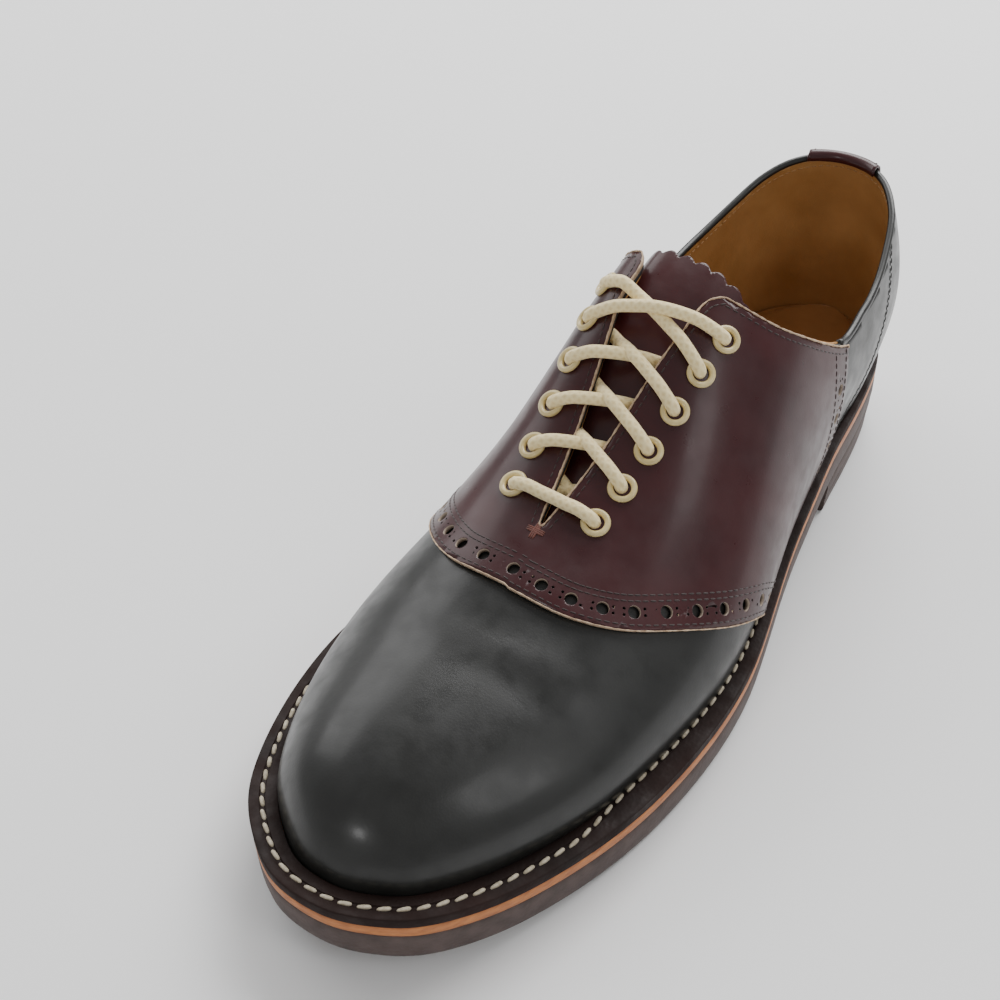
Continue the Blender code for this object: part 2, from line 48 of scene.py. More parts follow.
# Studio: a pale floor and soft light from above, seen from over the toe on the outer side. The camera
# keeps the angle of a person who looks down at the pair, and leans a little to one side.
CAMERA_PLACE = Vector((153.7, -263.9, 304.7)) * MM
CAMERA_TURN = math.radians(37.1)
CAMERA_DOWN = math.radians(40.8)
CAMERA_LEAN = math.radians(-2.4)
LENS = 50.4
FLOOR_SIZE = 6.0
FLOOR_COLOUR = (0.90, 0.90, 0.90, 1)

camera = bpy.data.objects.new("camera", bpy.data.cameras.new("camera"))
bpy.context.scene.collection.objects.link(camera)
camera.data.lens = LENS
camera.data.sensor_width = 36
back = Vector((math.sin(CAMERA_TURN) * math.cos(CAMERA_DOWN),
               -math.cos(CAMERA_TURN) * math.cos(CAMERA_DOWN), math.sin(CAMERA_DOWN)))
right = Vector((0, 0, 1)).cross(back).normalized()
facing = Matrix((right, back.cross(right), back)).transposed() @ Matrix.Rotation(CAMERA_LEAN, 3, "Z")
camera.matrix_world = Matrix.Translation(CAMERA_PLACE) @ facing.to_4x4()
bpy.context.scene.camera = camera


def softbox(name, place, aim, width, height, power):
    """A large soft light that faces a point."""
    light = bpy.data.lights.new(name, "AREA")
    light.shape = "RECTANGLE"
    light.size = width
    light.size_y = height
    light.energy = power
    obj = bpy.data.objects.new(name, light)
    bpy.context.scene.collection.objects.link(obj)
    obj.location = place
    obj.rotation_euler = (Vector(aim) - Vector(place)).to_track_quat("-Z", "Y").to_euler()


softbox("light_over", (-0.10, 1.25, 1.25), (0, 0, 0.05), 1.6, 1.2, 46)
softbox("light_left", (-1.25, 0.35, 0.95), (0, 0, 0.05), 1.3, 0.9, 9)
softbox("light_front", (-0.02, -1.20, 0.72), (0, 0, 0.05), 0.22, 0.22, 1.6)
softbox("light_right", (1.05, -0.05, 0.90), (0, 0, 0.05), 0.35, 0.7, 2.4)

world = bpy.data.worlds.new("studio")
world.use_nodes = True
world.node_tree.nodes["Background"].inputs["Color"].default_value = (1.0, 1.0, 1.0, 1)
world.node_tree.nodes["Background"].inputs["Strength"].default_value = 0.45
bpy.context.scene.world = world

bm = bmesh.new()
bmesh.ops.create_grid(bm, x_segments=1, y_segments=1, size=FLOOR_SIZE / 2)
floor_mesh = bpy.data.meshes.new("floor")
bm.to_mesh(floor_mesh)
bm.free()
floor = bpy.data.objects.new("floor", floor_mesh)
bpy.context.scene.collection.objects.link(floor)
floor_paint = bpy.data.materials.new("floor_paint")
floor_paint.use_nodes = True
floor_paint.node_tree.nodes["Principled BSDF"].inputs["Base Color"].default_value = FLOOR_COLOUR
floor_paint.node_tree.nodes["Principled BSDF"].inputs["Roughness"].default_value = 0.7
floor_mesh.materials.append(floor_paint)

# Last: the form that every leather is pulled over. One row of the table is one section, from the toe tip
# to the back of the heel; stations are shares of its length from the heel, sideways places shares of its
# ball width, and heights shares of its instep height.
LAST_LENGTH = 277.5 * MM
LAST_BALL = 86.4 * MM
INSTEP_HEIGHT = 74.0 * MM
UPPER_WALL = 2.0 * MM
CLEARANCE = 0.3 * MM
SADDLE_EASE = 0.45 * MM
HEEL_BLOCK = 11.3 * MM
OUTSOLE = 9.2 * MM
MIDSOLE = 3.5 * MM
TOE_SPRING = 7.0 * MM
MARGIN_TOE = 7.5 * MM
MARGIN_WAIST = 4.2 * MM
MARGIN_HEEL = 2.0 * MM
HEEL_BREAST = 0.251
ARCH_END = 0.587
SPRING_START = 0.737
HEEL_TO_WAIST = (0.152, 0.354)
WAIST_TO_BALL = (0.495, 0.778)
COLUMNS = ("lat_at", "lat", "med_at", "med", "ridge_at", "ridge", "height",
           "lat_full", "med_full", "lat_swell", "med_swell")
SECTIONS = (
    (1.000, 0.014, 1.000, 0.014, 1.000, 0.014, 0.000, 2.00, 2.00, 0.000, 0.000),
    (0.997, 0.094, 0.997, -0.062, 0.996, 0.012, 0.075, 2.00, 2.00, 0.000, 0.000),
    (0.986, 0.168, 0.986, -0.132, 0.985, 0.010, 0.155, 2.05, 2.05, 0.001, 0.001),
    (0.969, 0.240, 0.970, -0.204, 0.968, 0.007, 0.235, 2.10, 2.10, 0.003, 0.003),
    (0.942, 0.303, 0.948, -0.275, 0.942, 0.004, 0.304, 2.15, 2.15, 0.008, 0.008),
    (0.910, 0.357, 0.916, -0.340, 0.911, 0.000, 0.354, 2.20, 2.15, 0.016, 0.012),
    (0.867, 0.410, 0.872, -0.404, 0.868, -0.006, 0.400, 2.20, 2.10, 0.028, 0.018),
    (0.804, 0.468, 0.810, -0.464, 0.807, -0.016, 0.445, 2.20, 2.10, 0.040, 0.024),
    (0.726, 0.512, 0.733, -0.490, 0.729, -0.032, 0.512, 2.20, 2.20, 0.040, 0.028),
    (0.639, 0.536, 0.649, -0.457, 0.644, -0.050, 0.604, 2.20, 2.45, 0.038, 0.036),
    (0.546, 0.515, 0.558, -0.393, 0.550, -0.070, 0.779, 2.20, 2.80, 0.038, 0.044),
    (0.447, 0.440, 0.459, -0.322, 0.453, -0.088, 0.996, 2.25, 3.10, 0.040, 0.054),
    (0.352, 0.380, 0.362, -0.302, 0.356, -0.082, 1.095, 2.50, 3.10, 0.042, 0.050),
    (0.256, 0.338, 0.266, -0.318, 0.260, -0.050, 1.140, 2.70, 3.00, 0.050, 0.044),
    (0.173, 0.314, 0.184, -0.326, 0.173, -0.030, 1.165, 2.70, 2.80, 0.056, 0.042),
    (0.096, 0.270, 0.105, -0.300, 0.094, -0.020, 1.175, 2.70, 2.60, 0.058, 0.040),
    (0.060, 0.234, 0.067, -0.272, 0.094, -0.020, 1.175, 2.70, 2.60, 0.056, 0.038),
    (0.030, 0.176, 0.035, -0.218, 0.094, -0.020, 1.175, 2.70, 2.60, 0.050, 0.036),
    (0.008, 0.090, 0.010, -0.128, 0.094, -0.020, 1.175, 2.65, 2.60, 0.042, 0.034),
    (0.000, -0.018, 0.000, -0.018, 0.094, -0.020, 1.175, 2.60, 2.60, 0.034, 0.034),
)
LAST_ROW = len(SECTIONS) - 1
HEEL_ROW = 15
SWELL_TOP = 1 / (0.375 ** 1.5 * 0.625 ** 2.5)
FINE_ROWS = 12
FINE_LEVELS = 48


def spline(values, flat_start=False, flat_end=False):
    """A smooth curve through values at 0, 1, 2 and so on; each end is free, or level where flat."""
    y = np.array(values, float)
    n = len(y) - 1
    a = np.zeros((n + 1, n + 1))
    b = np.zeros(n + 1)
    for i in range(1, n):
        a[i, i - 1:i + 2] = (1, 4, 1)
        b[i] = 6 * (y[i + 1] - 2 * y[i] + y[i - 1])
    a[0, 0] = 1
    a[n, n] = 1
    if flat_start:
        a[0, :2] = (2, 1)
        b[0] = 6 * (y[1] - y[0])
    if flat_end:
        a[n, n - 1:] = (1, 2)
        b[n] = -6 * (y[n] - y[n - 1])
    bend = np.linalg.solve(a, b)

    def at(u):
        i = min(int(u), n - 1)
        t = u - i
        r = 1 - t
        return r * y[i] + t * y[i + 1] + ((r ** 3 - r) * bend[i] + (t ** 3 - t) * bend[i + 1]) / 6
    return at


def section_line(name, rows=LAST_ROW, **ends):
    k = COLUMNS.index(name)
    return spline([row[k] for row in SECTIONS[:rows + 1]], **ends)


LINES = {name: section_line(name) for name in COLUMNS}
for name in ("lat_at", "med_at"):
    LINES[name] = section_line(name, flat_start=True, flat_end=True)
for name in ("ridge_at", "ridge"):
    LINES[name] = section_line(name, HEEL_ROW, flat_start=True)
LINES["height"] = section_line("height", HEEL_ROW)


@lru_cache(maxsize=None)
def line(name, u):
    return float(LINES[name](u))


def smooth_step(x):
    x = min(max(x, 0.0), 1.0)
    return x * x * (3 - 2 * x)


def sole_margin(station):
    """How far the sole's edge stands out past the last: least at the heel, most at the ball and toe."""
    waist = smooth_step((station - HEEL_TO_WAIST[0]) / (HEEL_TO_WAIST[1] - HEEL_TO_WAIST[0]))
    ball = smooth_step((station - WAIST_TO_BALL[0]) / (WAIST_TO_BALL[1] - WAIST_TO_BALL[0]))
    return UPPER_WALL + MARGIN_HEEL + (MARGIN_WAIST - MARGIN_HEEL) * waist + (MARGIN_TOE - MARGIN_WAIST) * ball


def sole_half(side, sign):
    rows = [i / 2 for i in range(LAST_ROW * 2 + 1)]
    return max(sign * line(side, u) * LAST_BALL + sole_margin(line(side + "_at", u)) for u in rows)


BACK_Y = (LAST_LENGTH + MARGIN_TOE - MARGIN_HEEL) / 2
CENTRE_X = (sole_half("lat", 1) - sole_half("med", -1)) / 2


def world_x(share):
    return share * LAST_BALL - CENTRE_X


def world_y(station):
    return BACK_Y - station * LAST_LENGTH


def station_at(y):
    return (BACK_Y - y) / LAST_LENGTH


def tread(station):
    """The outsole's underside: flat at the forefoot, arched in the waist, sprung up at the toe."""
    spring = max(station - SPRING_START, 0.0) / (1.0 - SPRING_START)
    arch = smooth_step((ARCH_END - station) / (ARCH_END - HEEL_BREAST))
    return TOE_SPRING * spring ** 2 + HEEL_BLOCK * arch


def feather(station):
    """The midsole's top, where the upper, the welt and the insole stand."""
    return tread(station) + OUTSOLE + MIDSOLE + 2 * CLEARANCE


def edge_point(u, side):
    return Vector((world_x(line(side, u)), world_y(line(side + "_at", u))))


def last_point(u, level, side):
    """A point of the last: u runs over the rows, level from the feather edge (0) to the ridge (1)."""
    top = min(u, HEEL_ROW)
    edge = edge_point(u, side)
    ridge = Vector((world_x(line("ridge", top)), world_y(line("ridge_at", top))))
    full = line(side + "_full", u)
    c = max(math.cos(level * math.pi / 2), 0.0)
    s = math.sin(level * math.pi / 2)
    size = (c ** full + s ** full) ** (1 / full)
    c = c / size if level < 1 else 0.0
    s = s / size
    out = edge - ridge
    place = ridge + out * c
    if out.length > 1e-6:
        swell = line(side + "_swell", u) * LAST_BALL
        place += out.normalized() * swell * SWELL_TOP * s ** 1.5 * max(1 - s, 0.0) ** 2.5
    foot = feather(line(side + "_at", u))
    crown = feather(line("ridge_at", top)) + line("height", top) * INSTEP_HEIGHT
    return Vector((place.x, place.y, foot + (crown - foot) * s))


def wrap(along, around, place):
    """A net of along by around faces whose knots are put at place(i, j), with matching knots joined."""
    net = bmesh.new()
    net.loops.layers.uv.new("UVMap")
    bmesh.ops.create_grid(net, x_segments=along, y_segments=around, size=1, calc_uvs=True)
    for v in net.verts:
        i = round((v.co.x + 1) / 2 * along)
        j = round((v.co.y + 1) / 2 * around)
        v.co = place(i, j)
    bmesh.ops.remove_doubles(net, verts=net.verts, dist=0.01 * MM)
    bmesh.ops.recalc_face_normals(net, faces=net.faces)
    return net


def last_place(i, j):
    side = "lat" if j <= FINE_LEVELS else "med"
    return last_point(i / FINE_ROWS, min(j, 2 * FINE_LEVELS - j) / FINE_LEVELS, side)


last = wrap(LAST_ROW * FINE_ROWS, 2 * FINE_LEVELS, last_place)
if max(last.faces, key=lambda f: f.calc_center_median().z).normal.z < 0:
    bmesh.ops.reverse_faces(last, faces=last.faces)

# Creases: soft troughs and ridges that walking has left across the vamp and in the quarters. Each goes
# between two places seen from above, as station and share of the ball width, with its half width and depth.
CREASES = (
    ((0.740, -0.36), (0.760, -0.10), 5.5 * MM, 0.75 * MM),
    ((0.763, -0.05), (0.748, 0.24), 6.0 * MM, 0.80 * MM),
    ((0.788, -0.30), (0.798, 0.02), 7.0 * MM, 0.65 * MM),
    ((0.798, 0.10), (0.780, 0.36), 6.0 * MM, 0.65 * MM),
    ((0.722, 0.02), (0.731, 0.30), 4.5 * MM, 0.50 * MM),
    ((0.760, -0.33), (0.780, -0.05), 5.0 * MM, -0.45 * MM),
    ((0.774, 0.05), (0.761, 0.32), 5.0 * MM, -0.40 * MM),
    ((0.556, 0.46), (0.455, 0.34), 9.0 * MM, 0.50 * MM),
    ((0.596, -0.40), (0.495, -0.30), 9.0 * MM, 0.50 * MM),
    ((0.228, 0.33), (0.188, 0.30), 8.0 * MM, 0.50 * MM),
)


def crease_depth(place):
    """How far the leather sinks here, from all the creases; the middle of each is deepest."""
    depth = 0.0
    spot = Vector((place.x, place.y))
    for (start_at, start), (end_at, end), width, deep in CREASES:
        a = Vector((world_x(start), world_y(start_at)))
        b = Vector((world_x(end), world_y(end_at)))
        run = b - a
        share = (spot - a).dot(run) / run.length_squared
        away = (spot - a - run * min(max(share, 0.0), 1.0)).length
        if away < 3 * width:
            depth += deep * math.exp(-(away / width) ** 2) * (1 - 0.6 * abs(2 * min(max(share, 0.0), 1.0) - 1))
    return depth


def leather_net(offset, creased=True):
    """The last's skin moved out by offset, with the creases in it."""
    net = last.copy()
    net.normal_update()
    moves = [(v, v.normal * (offset - (crease_depth(v.co) if creased else 0.0))) for v in net.verts]
    for v, move in moves:
        v.co += move
    return net


def cut_along(net, keep, tidy=0.12 * MM):
    """Cuts a net along the line where keep is zero, and drops the side where it is negative."""
    value = {v: keep(v.co) for v in net.verts}
    on_line = []
    for edge in list(net.edges):
        a, b = edge.verts
        if value[a] * value[b] < 0:
            share = value[a] / (value[a] - value[b])
            vert = bmesh.utils.edge_split(edge, a, share)[1]
            value[vert] = 0.0
            on_line.append(vert)
    bmesh.ops.connect_verts(net, verts=on_line)
    dropped = [f for f in net.faces if sum(value.get(v, 0.0) for v in f.verts) < 0]
    bmesh.ops.delete(net, geom=dropped, context="FACES")
    loose = [v for v in net.verts if not v.link_faces]
    bmesh.ops.delete(net, geom=loose, context="VERTS")
    bmesh.ops.remove_doubles(net, verts=[v for v in on_line if v.is_valid], dist=tidy)
    return net


def through(points, steps=8):
    """Points along a smooth curve through the given ones."""
    lines = [spline([p[k] for p in points]) for k in range(len(points[0]))]
    return [tuple(float(curve(i / steps)) for curve in lines) for i in range((len(points) - 1) * steps + 1)]


def rim_chain(net, test):
    """The open edge of a panel where test(place) holds, as the longest chain of places."""
    links = {}
    for edge in net.edges:
        if edge.is_boundary and test((edge.verts[0].co + edge.verts[1].co) / 2):
            for v in edge.verts:
                links.setdefault(v, []).append(edge.other_vert(v))
    chains = []
    left = set(links)
    while left:
        start = next((v for v in left if len(links[v]) == 1), next(iter(left)))
        chain = [start]
        left.discard(start)
        while True:
            onward = [v for v in links[chain[-1]] if v in left]
            if not onward:
                break
            chain.append(onward[0])
            left.discard(onward[0])
        chains.append([v.co.copy() for v in chain])
    return max(chains, key=len)


def spaced(points, gap, trim=0.0):
    """Places at equal steps of about gap along a chain, with trim left off each end."""
    steps = [(b - a).length for a, b in zip(points, points[1:])]
    run = np.concatenate(([0.0], np.cumsum(steps)))
    count = max(round((run[-1] - 2 * trim) / gap), 1)
    at = [trim + (run[-1] - 2 * trim) * k / count for k in range(count + 1)]
    return [Vector([float(np.interp(s, run, [p[k] for p in points])) for k in range(3)]) for s in at]


def on_leather(surface, places, inset=0.0):
    """(place, way along, way out) at each place moved in from the panel's edge, on the leather."""
    signs = []
    found = []
    for sign in (1, -1):
        row = []
        miss = 0.0
        for k, place in enumerate(places):
            ahead = (places[min(k + 1, len(places) - 1)] - places[max(k - 1, 0)]).normalized()
            normal = surface.find_nearest(place)[1]
            wanted = place + normal.cross(ahead) * inset * sign
            spot, out, _, gap = surface.find_nearest(wanted)
            miss += gap
            row.append((spot, ahead, out))
        signs.append(miss)
        found.append(row)
    return found[0] if signs[0] <= signs[1] else found[1]


def joined(name, template, frames, mats, smooth=True):
    """One mesh of many copies of a small shape, each in its own frame (place, x, y, z, sizes)."""
    base = np.array([v.co for v in template.verts])
    faces = [[v.index for v in f.verts] for f in template.faces]
    verts = []
    polys = []
    for place, ways, sizes in frames:
        start = len(verts) * len(base)
        verts.append(base * np.array(sizes) @ np.array(ways) + np.array(place))
        polys += [[start + k for k in face] for face in faces]
    template.free()
    mesh = bpy.data.meshes.new(name)
    mesh.from_pydata(np.vstack(verts).tolist(), [], polys)
    return dressed(name, mesh, mats, smooth)


def dressed(name, mesh, mats, smooth=True, sharp=None):
    """A mesh as a piece of the shoe: its materials, its shading, and its place in the scene."""
    if isinstance(mesh, bmesh.types.BMesh):
        data = bpy.data.meshes.new(name)
        mesh.to_mesh(data)
        mesh.free()
        mesh = data
    obj = bpy.data.objects.new(name, mesh)
    bpy.context.scene.collection.objects.link(obj)
    for mat in mats:
        mesh.materials.append(mat)
    if smooth:
        mesh.shade_smooth()
    if sharp:
        mesh.set_sharp_from_angle(angle=math.radians(sharp))
    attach(obj, "root")
    return obj


def walled(obj, wall, offset, rim=1):
    """Gives an open leather its thickness; rim is how many materials on the cut edge's one lies."""
    mod = obj.modifiers.new("wall", "SOLIDIFY")
    mod.thickness = wall
    mod.offset = offset
    mod.material_offset_rim = rim
    return obj


def put(tree, kind, inputs=None, **settings):
    """Adds a node to a material; an input is a number, a colour or another node's output."""
    node = tree.nodes.new(kind)
    for key, value in settings.items():
        setattr(node, key, value)
    for key, value in (inputs or {}).items():
        if isinstance(value, bpy.types.NodeSocket):
            tree.links.new(value, node.inputs[key])
        else:
            node.inputs[key].default_value = value
    return node


def finish_of(name, rough, coat=0.0, coat_rough=0.1, sheen=0.0, specular=0.5):
    mat = bpy.data.materials.new(name)
    mat.use_nodes = True
    shader = mat.node_tree.nodes["Principled BSDF"]
    shader.inputs["Roughness"].default_value = rough
    shader.inputs["Coat Weight"].default_value = coat
    shader.inputs["Coat Roughness"].default_value = coat_rough
    shader.inputs["Sheen Weight"].default_value = sheen
    shader.inputs["Specular IOR Level"].default_value = specular
    return mat, mat.node_tree, shader


def mottled(tree, where, scale, dark, light, low=0.3, high=0.7):
    """A colour that drifts between two shades over the surface."""
    noise = put(tree, "ShaderNodeTexNoise", {"Vector": where, "Scale": scale, "Detail": 4.0})
    spread = put(tree, "ShaderNodeMapRange", {"Value": noise.outputs["Fac"], "From Min": low, "From Max": high})
    mix = put(tree, "ShaderNodeMix", data_type="RGBA")
    tree.links.new(spread.outputs["Result"], mix.inputs[0])
    mix.inputs[6].default_value = (*dark, 1)
    mix.inputs[7].default_value = (*light, 1)
    return mix.outputs[2]


def leather(name, dark, light, rough, coat, coat_rough, grain=0.05, wave=0.25, pore=1500.0):
    """Polished leather: fine pores, the slow wave of a stretched hide, and gloss that varies a little."""
    mat, tree, shader = finish_of(name, rough, coat, coat_rough)
    where = put(tree, "ShaderNodeTexCoord").outputs["Object"]
    tree.links.new(mottled(tree, where, 45.0, dark, light), shader.inputs["Base Color"])
    dull = put(tree, "ShaderNodeTexNoise", {"Vector": where, "Scale": 90.0, "Detail": 5.0})
    vary = put(tree, "ShaderNodeMapRange", {"Value": dull.outputs["Fac"], "From Min": 0.3, "From Max": 0.7,
                                           "To Min": rough * 0.8, "To Max": rough * 1.25})
    tree.links.new(vary.outputs["Result"], shader.inputs["Roughness"])
    pores = put(tree, "ShaderNodeTexVoronoi", {"Vector": where, "Scale": pore})
    slow = put(tree, "ShaderNodeTexNoise", {"Vector": where, "Scale": 160.0, "Detail": 3.0})
    fine = put(tree, "ShaderNodeBump", {"Height": pores.outputs["Distance"], "Strength": grain,
                                        "Distance": 0.2 * MM})
    coarse = put(tree, "ShaderNodeBump", {"Height": slow.outputs["Fac"], "Strength": wave,
                                          "Distance": 0.25 * MM, "Normal": fine.outputs["Normal"]})
    tree.links.new(coarse.outputs["Normal"], shader.inputs["Normal"])
    tree.links.new(slow.outputs["Fac"], vary.inputs["Value"])
    return mat


def tube(places, radii, sides):
    """A closed cord through the places; radii gives its (half width, half height) at each."""
    rings = []
    side = None
    for k, place in enumerate(places):
        ahead = (places[min(k + 1, len(places) - 1)] - places[max(k - 1, 0)]).normalized()
        side = ahead.orthogonal() if side is None else side - ahead * side.dot(ahead)
        side.normalize()
        up = ahead.cross(side)
        wide, high = radii[k]
        rings.append([place + side * math.cos(a) * wide + up * math.sin(a) * high
                      for a in [2 * math.pi * j / sides for j in range(sides)]])
    net = wrap(len(places) - 1, sides, lambda i, j: rings[i][j % sides])
    bmesh.ops.holes_fill(net, edges=net.edges, sides=sides)
    bmesh.ops.recalc_face_normals(net, faces=net.faces)
    return net


# Vamp and quarters: polished black leather, cut in one outline here, open at the collar and the throat.
# Its cut edge is dark; a tan lining is pasted to its back.
TOPLINE = {
    "lat": ((-0.068, 1.17), (0.010, 1.17), (0.080, 1.08), (0.157, 0.965), (0.222, 0.915), (0.274, 0.930),
            (0.345, 1.10), (0.386, 1.23), (0.423, 1.42)),
    "med": ((-0.068, 1.17), (0.010, 1.17), (0.080, 1.08), (0.157, 0.980), (0.222, 0.940), (0.274, 0.965),
            (0.341, 1.13), (0.378, 1.27), (0.413, 1.46)),
}
THROAT = ((0.658, -0.004, -0.020), (0.587, 0.028, -0.060), (0.484, 0.068, -0.125), (0.448, 0.088, -0.152),
          (0.420, 0.100, -0.145), (0.401, 0.150, -0.168), (0.382, 0.215, -0.235), (0.364, 0.220, -0.300))
BLACK_WALL = 1.1 * MM
LINING_WALL = 0.8 * MM

topline_curve = {side: list(zip(*through(TOPLINE[side]))) for side in TOPLINE}
throat_curve = list(zip(*through(sorted(THROAT))))


def side_of(place):
    return "lat" if place.x > 0 else "med"


def under_topline(place):
    at, up = topline_curve[side_of(place)]
    return float(np.interp(station_at(place.y), at, up)) * INSTEP_HEIGHT - place.z


def outside_throat(place):
    at, lat, med = throat_curve
    station = station_at(place.y)
    inside = min(world_x(float(np.interp(station, at, lat))) - place.x,
                 place.x - world_x(float(np.interp(station, at, med))),
                 (THROAT[0][0] - station) * LAST_LENGTH, (station - THROAT[-1][0]) * LAST_LENGTH)
    return -inside


black_leather = leather("black_polished_leather", (0.0085, 0.0087, 0.0080), (0.0140, 0.0142, 0.0130),
                        0.38, 0.22, 0.18, grain=0.06, wave=0.16)
black_leather.node_tree.nodes["Principled BSDF"].inputs["Specular IOR Level"].default_value = 0.4
black_edge, tree, shader = finish_of("black_edge", 0.6)
shader.inputs["Base Color"].default_value = (0.012, 0.010, 0.009, 1)

upper_net = leather_net(UPPER_WALL)
cut_along(upper_net, under_topline)
cut_along(upper_net, outside_throat)
upper_surface = BVHTree.FromBMesh(upper_net)
upper_rim = rim_chain(upper_net, lambda p: abs(under_topline(p)) < 0.4 * MM and outside_throat(p) > 1 * MM)
upper = walled(dressed("vamp_and_quarters", upper_net, [black_leather, black_edge]), BLACK_WALL, -1)
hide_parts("upper")

# Lining: tan calf pasted inside the quarters and the vamp, trimmed level with the collar.
lining_leather = leather("tan_lining_leather", (0.38, 0.185, 0.055), (0.54, 0.29, 0.105),
                         0.42, 0.15, 0.3, grain=0.12, wave=0.3)
lining_net = leather_net(0.0, creased=False)
cut_along(lining_net, under_topline)
cut_along(lining_net, outside_throat)
lining_surface = BVHTree.FromBMesh(lining_net)
lining_rim = rim_chain(lining_net, lambda p: abs(under_topline(p)) < 0.4 * MM and outside_throat(p) > 1 * MM)
lining = walled(dressed("lining", lining_net, [lining_leather]), LINING_WALL, 1, rim=0)

# Saddle: a second leather, burgundy, over the waist of the upper. Its raw edge shows as a cream line,
# and its front and back edges carry a row of brogue holes with pairs of pinholes between them.
SADDLE_WALL = 1.3 * MM
SADDLE_FRONT = {
    "lat": ((0.443, 0.05), (0.505, 0.26), (0.541, 0.38), (0.582, 0.47), (0.642, 0.58), (0.689, 0.65),
            (0.715, 0.70), (0.725, 0.75), (0.726, 0.90)),
    "med": ((0.453, 0.05), (0.516, 0.26), (0.551, 0.38), (0.592, 0.47), (0.645, 0.58), (0.689, 0.67),
            (0.715, 0.72), (0.725, 0.77), (0.726, 0.90)),
}
SADDLE_BACK = ((0.324, 0.05), (0.298, 0.343), (0.282, 0.64), (0.267, 0.924), (0.243, 1.25))
BROGUE_RADIUS = 1.75 * MM
PINHOLE_RADIUS = 0.42 * MM
FRONT_INSET = 4.9 * MM
BACK_INSET = 4.8 * MM
BROGUE_GAP = 9.4 * MM
SADDLE_OUT = UPPER_WALL + SADDLE_EASE + SADDLE_WALL

front_curve = {side: list(zip(*through(SADDLE_FRONT[side]))) for side in SADDLE_FRONT}
back_curve = list(zip(*through(SADDLE_BACK)))


def behind_front(place):
    at, up = front_curve[side_of(place)]
    return (float(np.interp(place.z / INSTEP_HEIGHT, up, at)) - station_at(place.y)) * LAST_LENGTH


def before_back(place):
    at, up = back_curve
    return (station_at(place.y) - float(np.interp(place.z / INSTEP_HEIGHT, up, at))) * LAST_LENGTH


def punch(net, centres, radius, reach, cuts):
    """Cuts a round hole at each centre, after drawing the net finer round it."""
    tree = KDTree(len(centres))
    for k, centre in enumerate(centres):
        tree.insert(centre, k)
    tree.balance()
    near = {e for f in net.faces if tree.find(f.calc_center_median())[2] < radius + reach for e in f.edges}
    bmesh.ops.subdivide_edges(net, edges=list(near), cuts=cuts, use_grid_fill=True)
    cut_along(net, lambda place: tree.find(place)[2] - radius, tidy=0.02 * MM)


burgundy_leather = leather("burgundy_polished_leather", (0.030, 0.0055, 0.0070), (0.048, 0.0085, 0.0100),
                           0.34, 0.22, 0.16, grain=0.035, wave=0.14)
burgundy_leather.node_tree.nodes["Principled BSDF"].inputs["Specular IOR Level"].default_value = 0.32
raw_edge, tree, shader = finish_of("raw_leather_edge", 0.8)
raw_where = put(tree, "ShaderNodeTexCoord").outputs["Object"]
tree.links.new(mottled(tree, raw_where, 700.0, (0.36, 0.24, 0.15), (0.62, 0.47, 0.33)), shader.inputs["Base Color"])

hole_edge, tree, shader = finish_of("punched_edge", 0.7)
shader.inputs["Base Color"].default_value = (0.34, 0.27, 0.21, 1)
# The pinholes' cut walls are painted near black: painted shade inside the tiny holes. The brogue holes' walls keep
# a tan leather colour.
pin_wall_shade, tree, shader = finish_of("pinhole_wall_painted_shade", 0.7)
shader.inputs["Base Color"].default_value = (0.020, 0.010, 0.009, 1)

saddle_net = leather_net(SADDLE_OUT)
for keep in (under_topline, outside_throat, behind_front, before_back):
    cut_along(saddle_net, keep)
saddle_surface = BVHTree.FromBMesh(saddle_net)
front_rim = rim_chain(saddle_net, lambda p: abs(behind_front(p)) < 0.4 * MM)
back_rims = [rim_chain(saddle_net, lambda p, s=side: abs(before_back(p)) < 0.4 * MM and side_of(p) == s)
             for side in ("lat", "med")]
throat_rims = [rim_chain(saddle_net, lambda p, s=side: abs(outside_throat(p)) < 0.4 * MM and
                         (p.x > world_x(-0.012 if station_at(p.y) > 0.63 else -0.03)) == (s == "lat"))
               for side in ("lat", "med")]
top_rims = [rim_chain(saddle_net, lambda p, s=side: abs(under_topline(p)) < 0.4 * MM and side_of(p) == s)
            for side in ("lat", "med")]

brogue = []
pins = []
for rim, inset, gap, trim in ((front_rim, FRONT_INSET, BROGUE_GAP, 8 * MM),
                              (back_rims[0], BACK_INSET, BROGUE_GAP, 6 * MM),
                              (back_rims[1], BACK_INSET, BROGUE_GAP, 6 * MM)):
    row = on_leather(saddle_surface, spaced(rim, gap / 6, trim), inset)
    brogue += [spot for spot, _, _ in row[0::6]]
    for k in range(len(row) - 1):
        if k % 6 in (2, 4):
            spot, ahead, out = row[k]
            pins += [spot + out.cross(ahead) * 0.85 * MM * sign for sign in (1, -1)]
pins = [pin for pin in pins if min((pin - hole).length for hole in brogue) > BROGUE_RADIUS + 2.5 * PINHOLE_RADIUS]
punch(saddle_net, brogue, BROGUE_RADIUS, 1.6 * MM, 3)
punch(saddle_net, pins, PINHOLE_RADIUS, 0.9 * MM, 3)
for centres, reach, index in ((brogue, BROGUE_RADIUS + 0.9 * MM, 2), (pins, PINHOLE_RADIUS + 0.5 * MM, 4)):
    punched = KDTree(len(centres))
    for k, centre in enumerate(centres):
        punched.insert(centre, k)
    punched.balance()
    for face in saddle_net.faces:
        if punched.find(face.calc_center_median())[2] < reach:
            face.material_index = index
# Slot 5, the pinholes' cut walls, carries the painted shade.
saddle_skins = [burgundy_leather, raw_edge, burgundy_leather, hole_edge, burgundy_leather, pin_wall_shade]
saddle = walled(dressed("saddle_leather", saddle_net, saddle_skins), SADDLE_WALL, -1)
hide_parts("saddle")



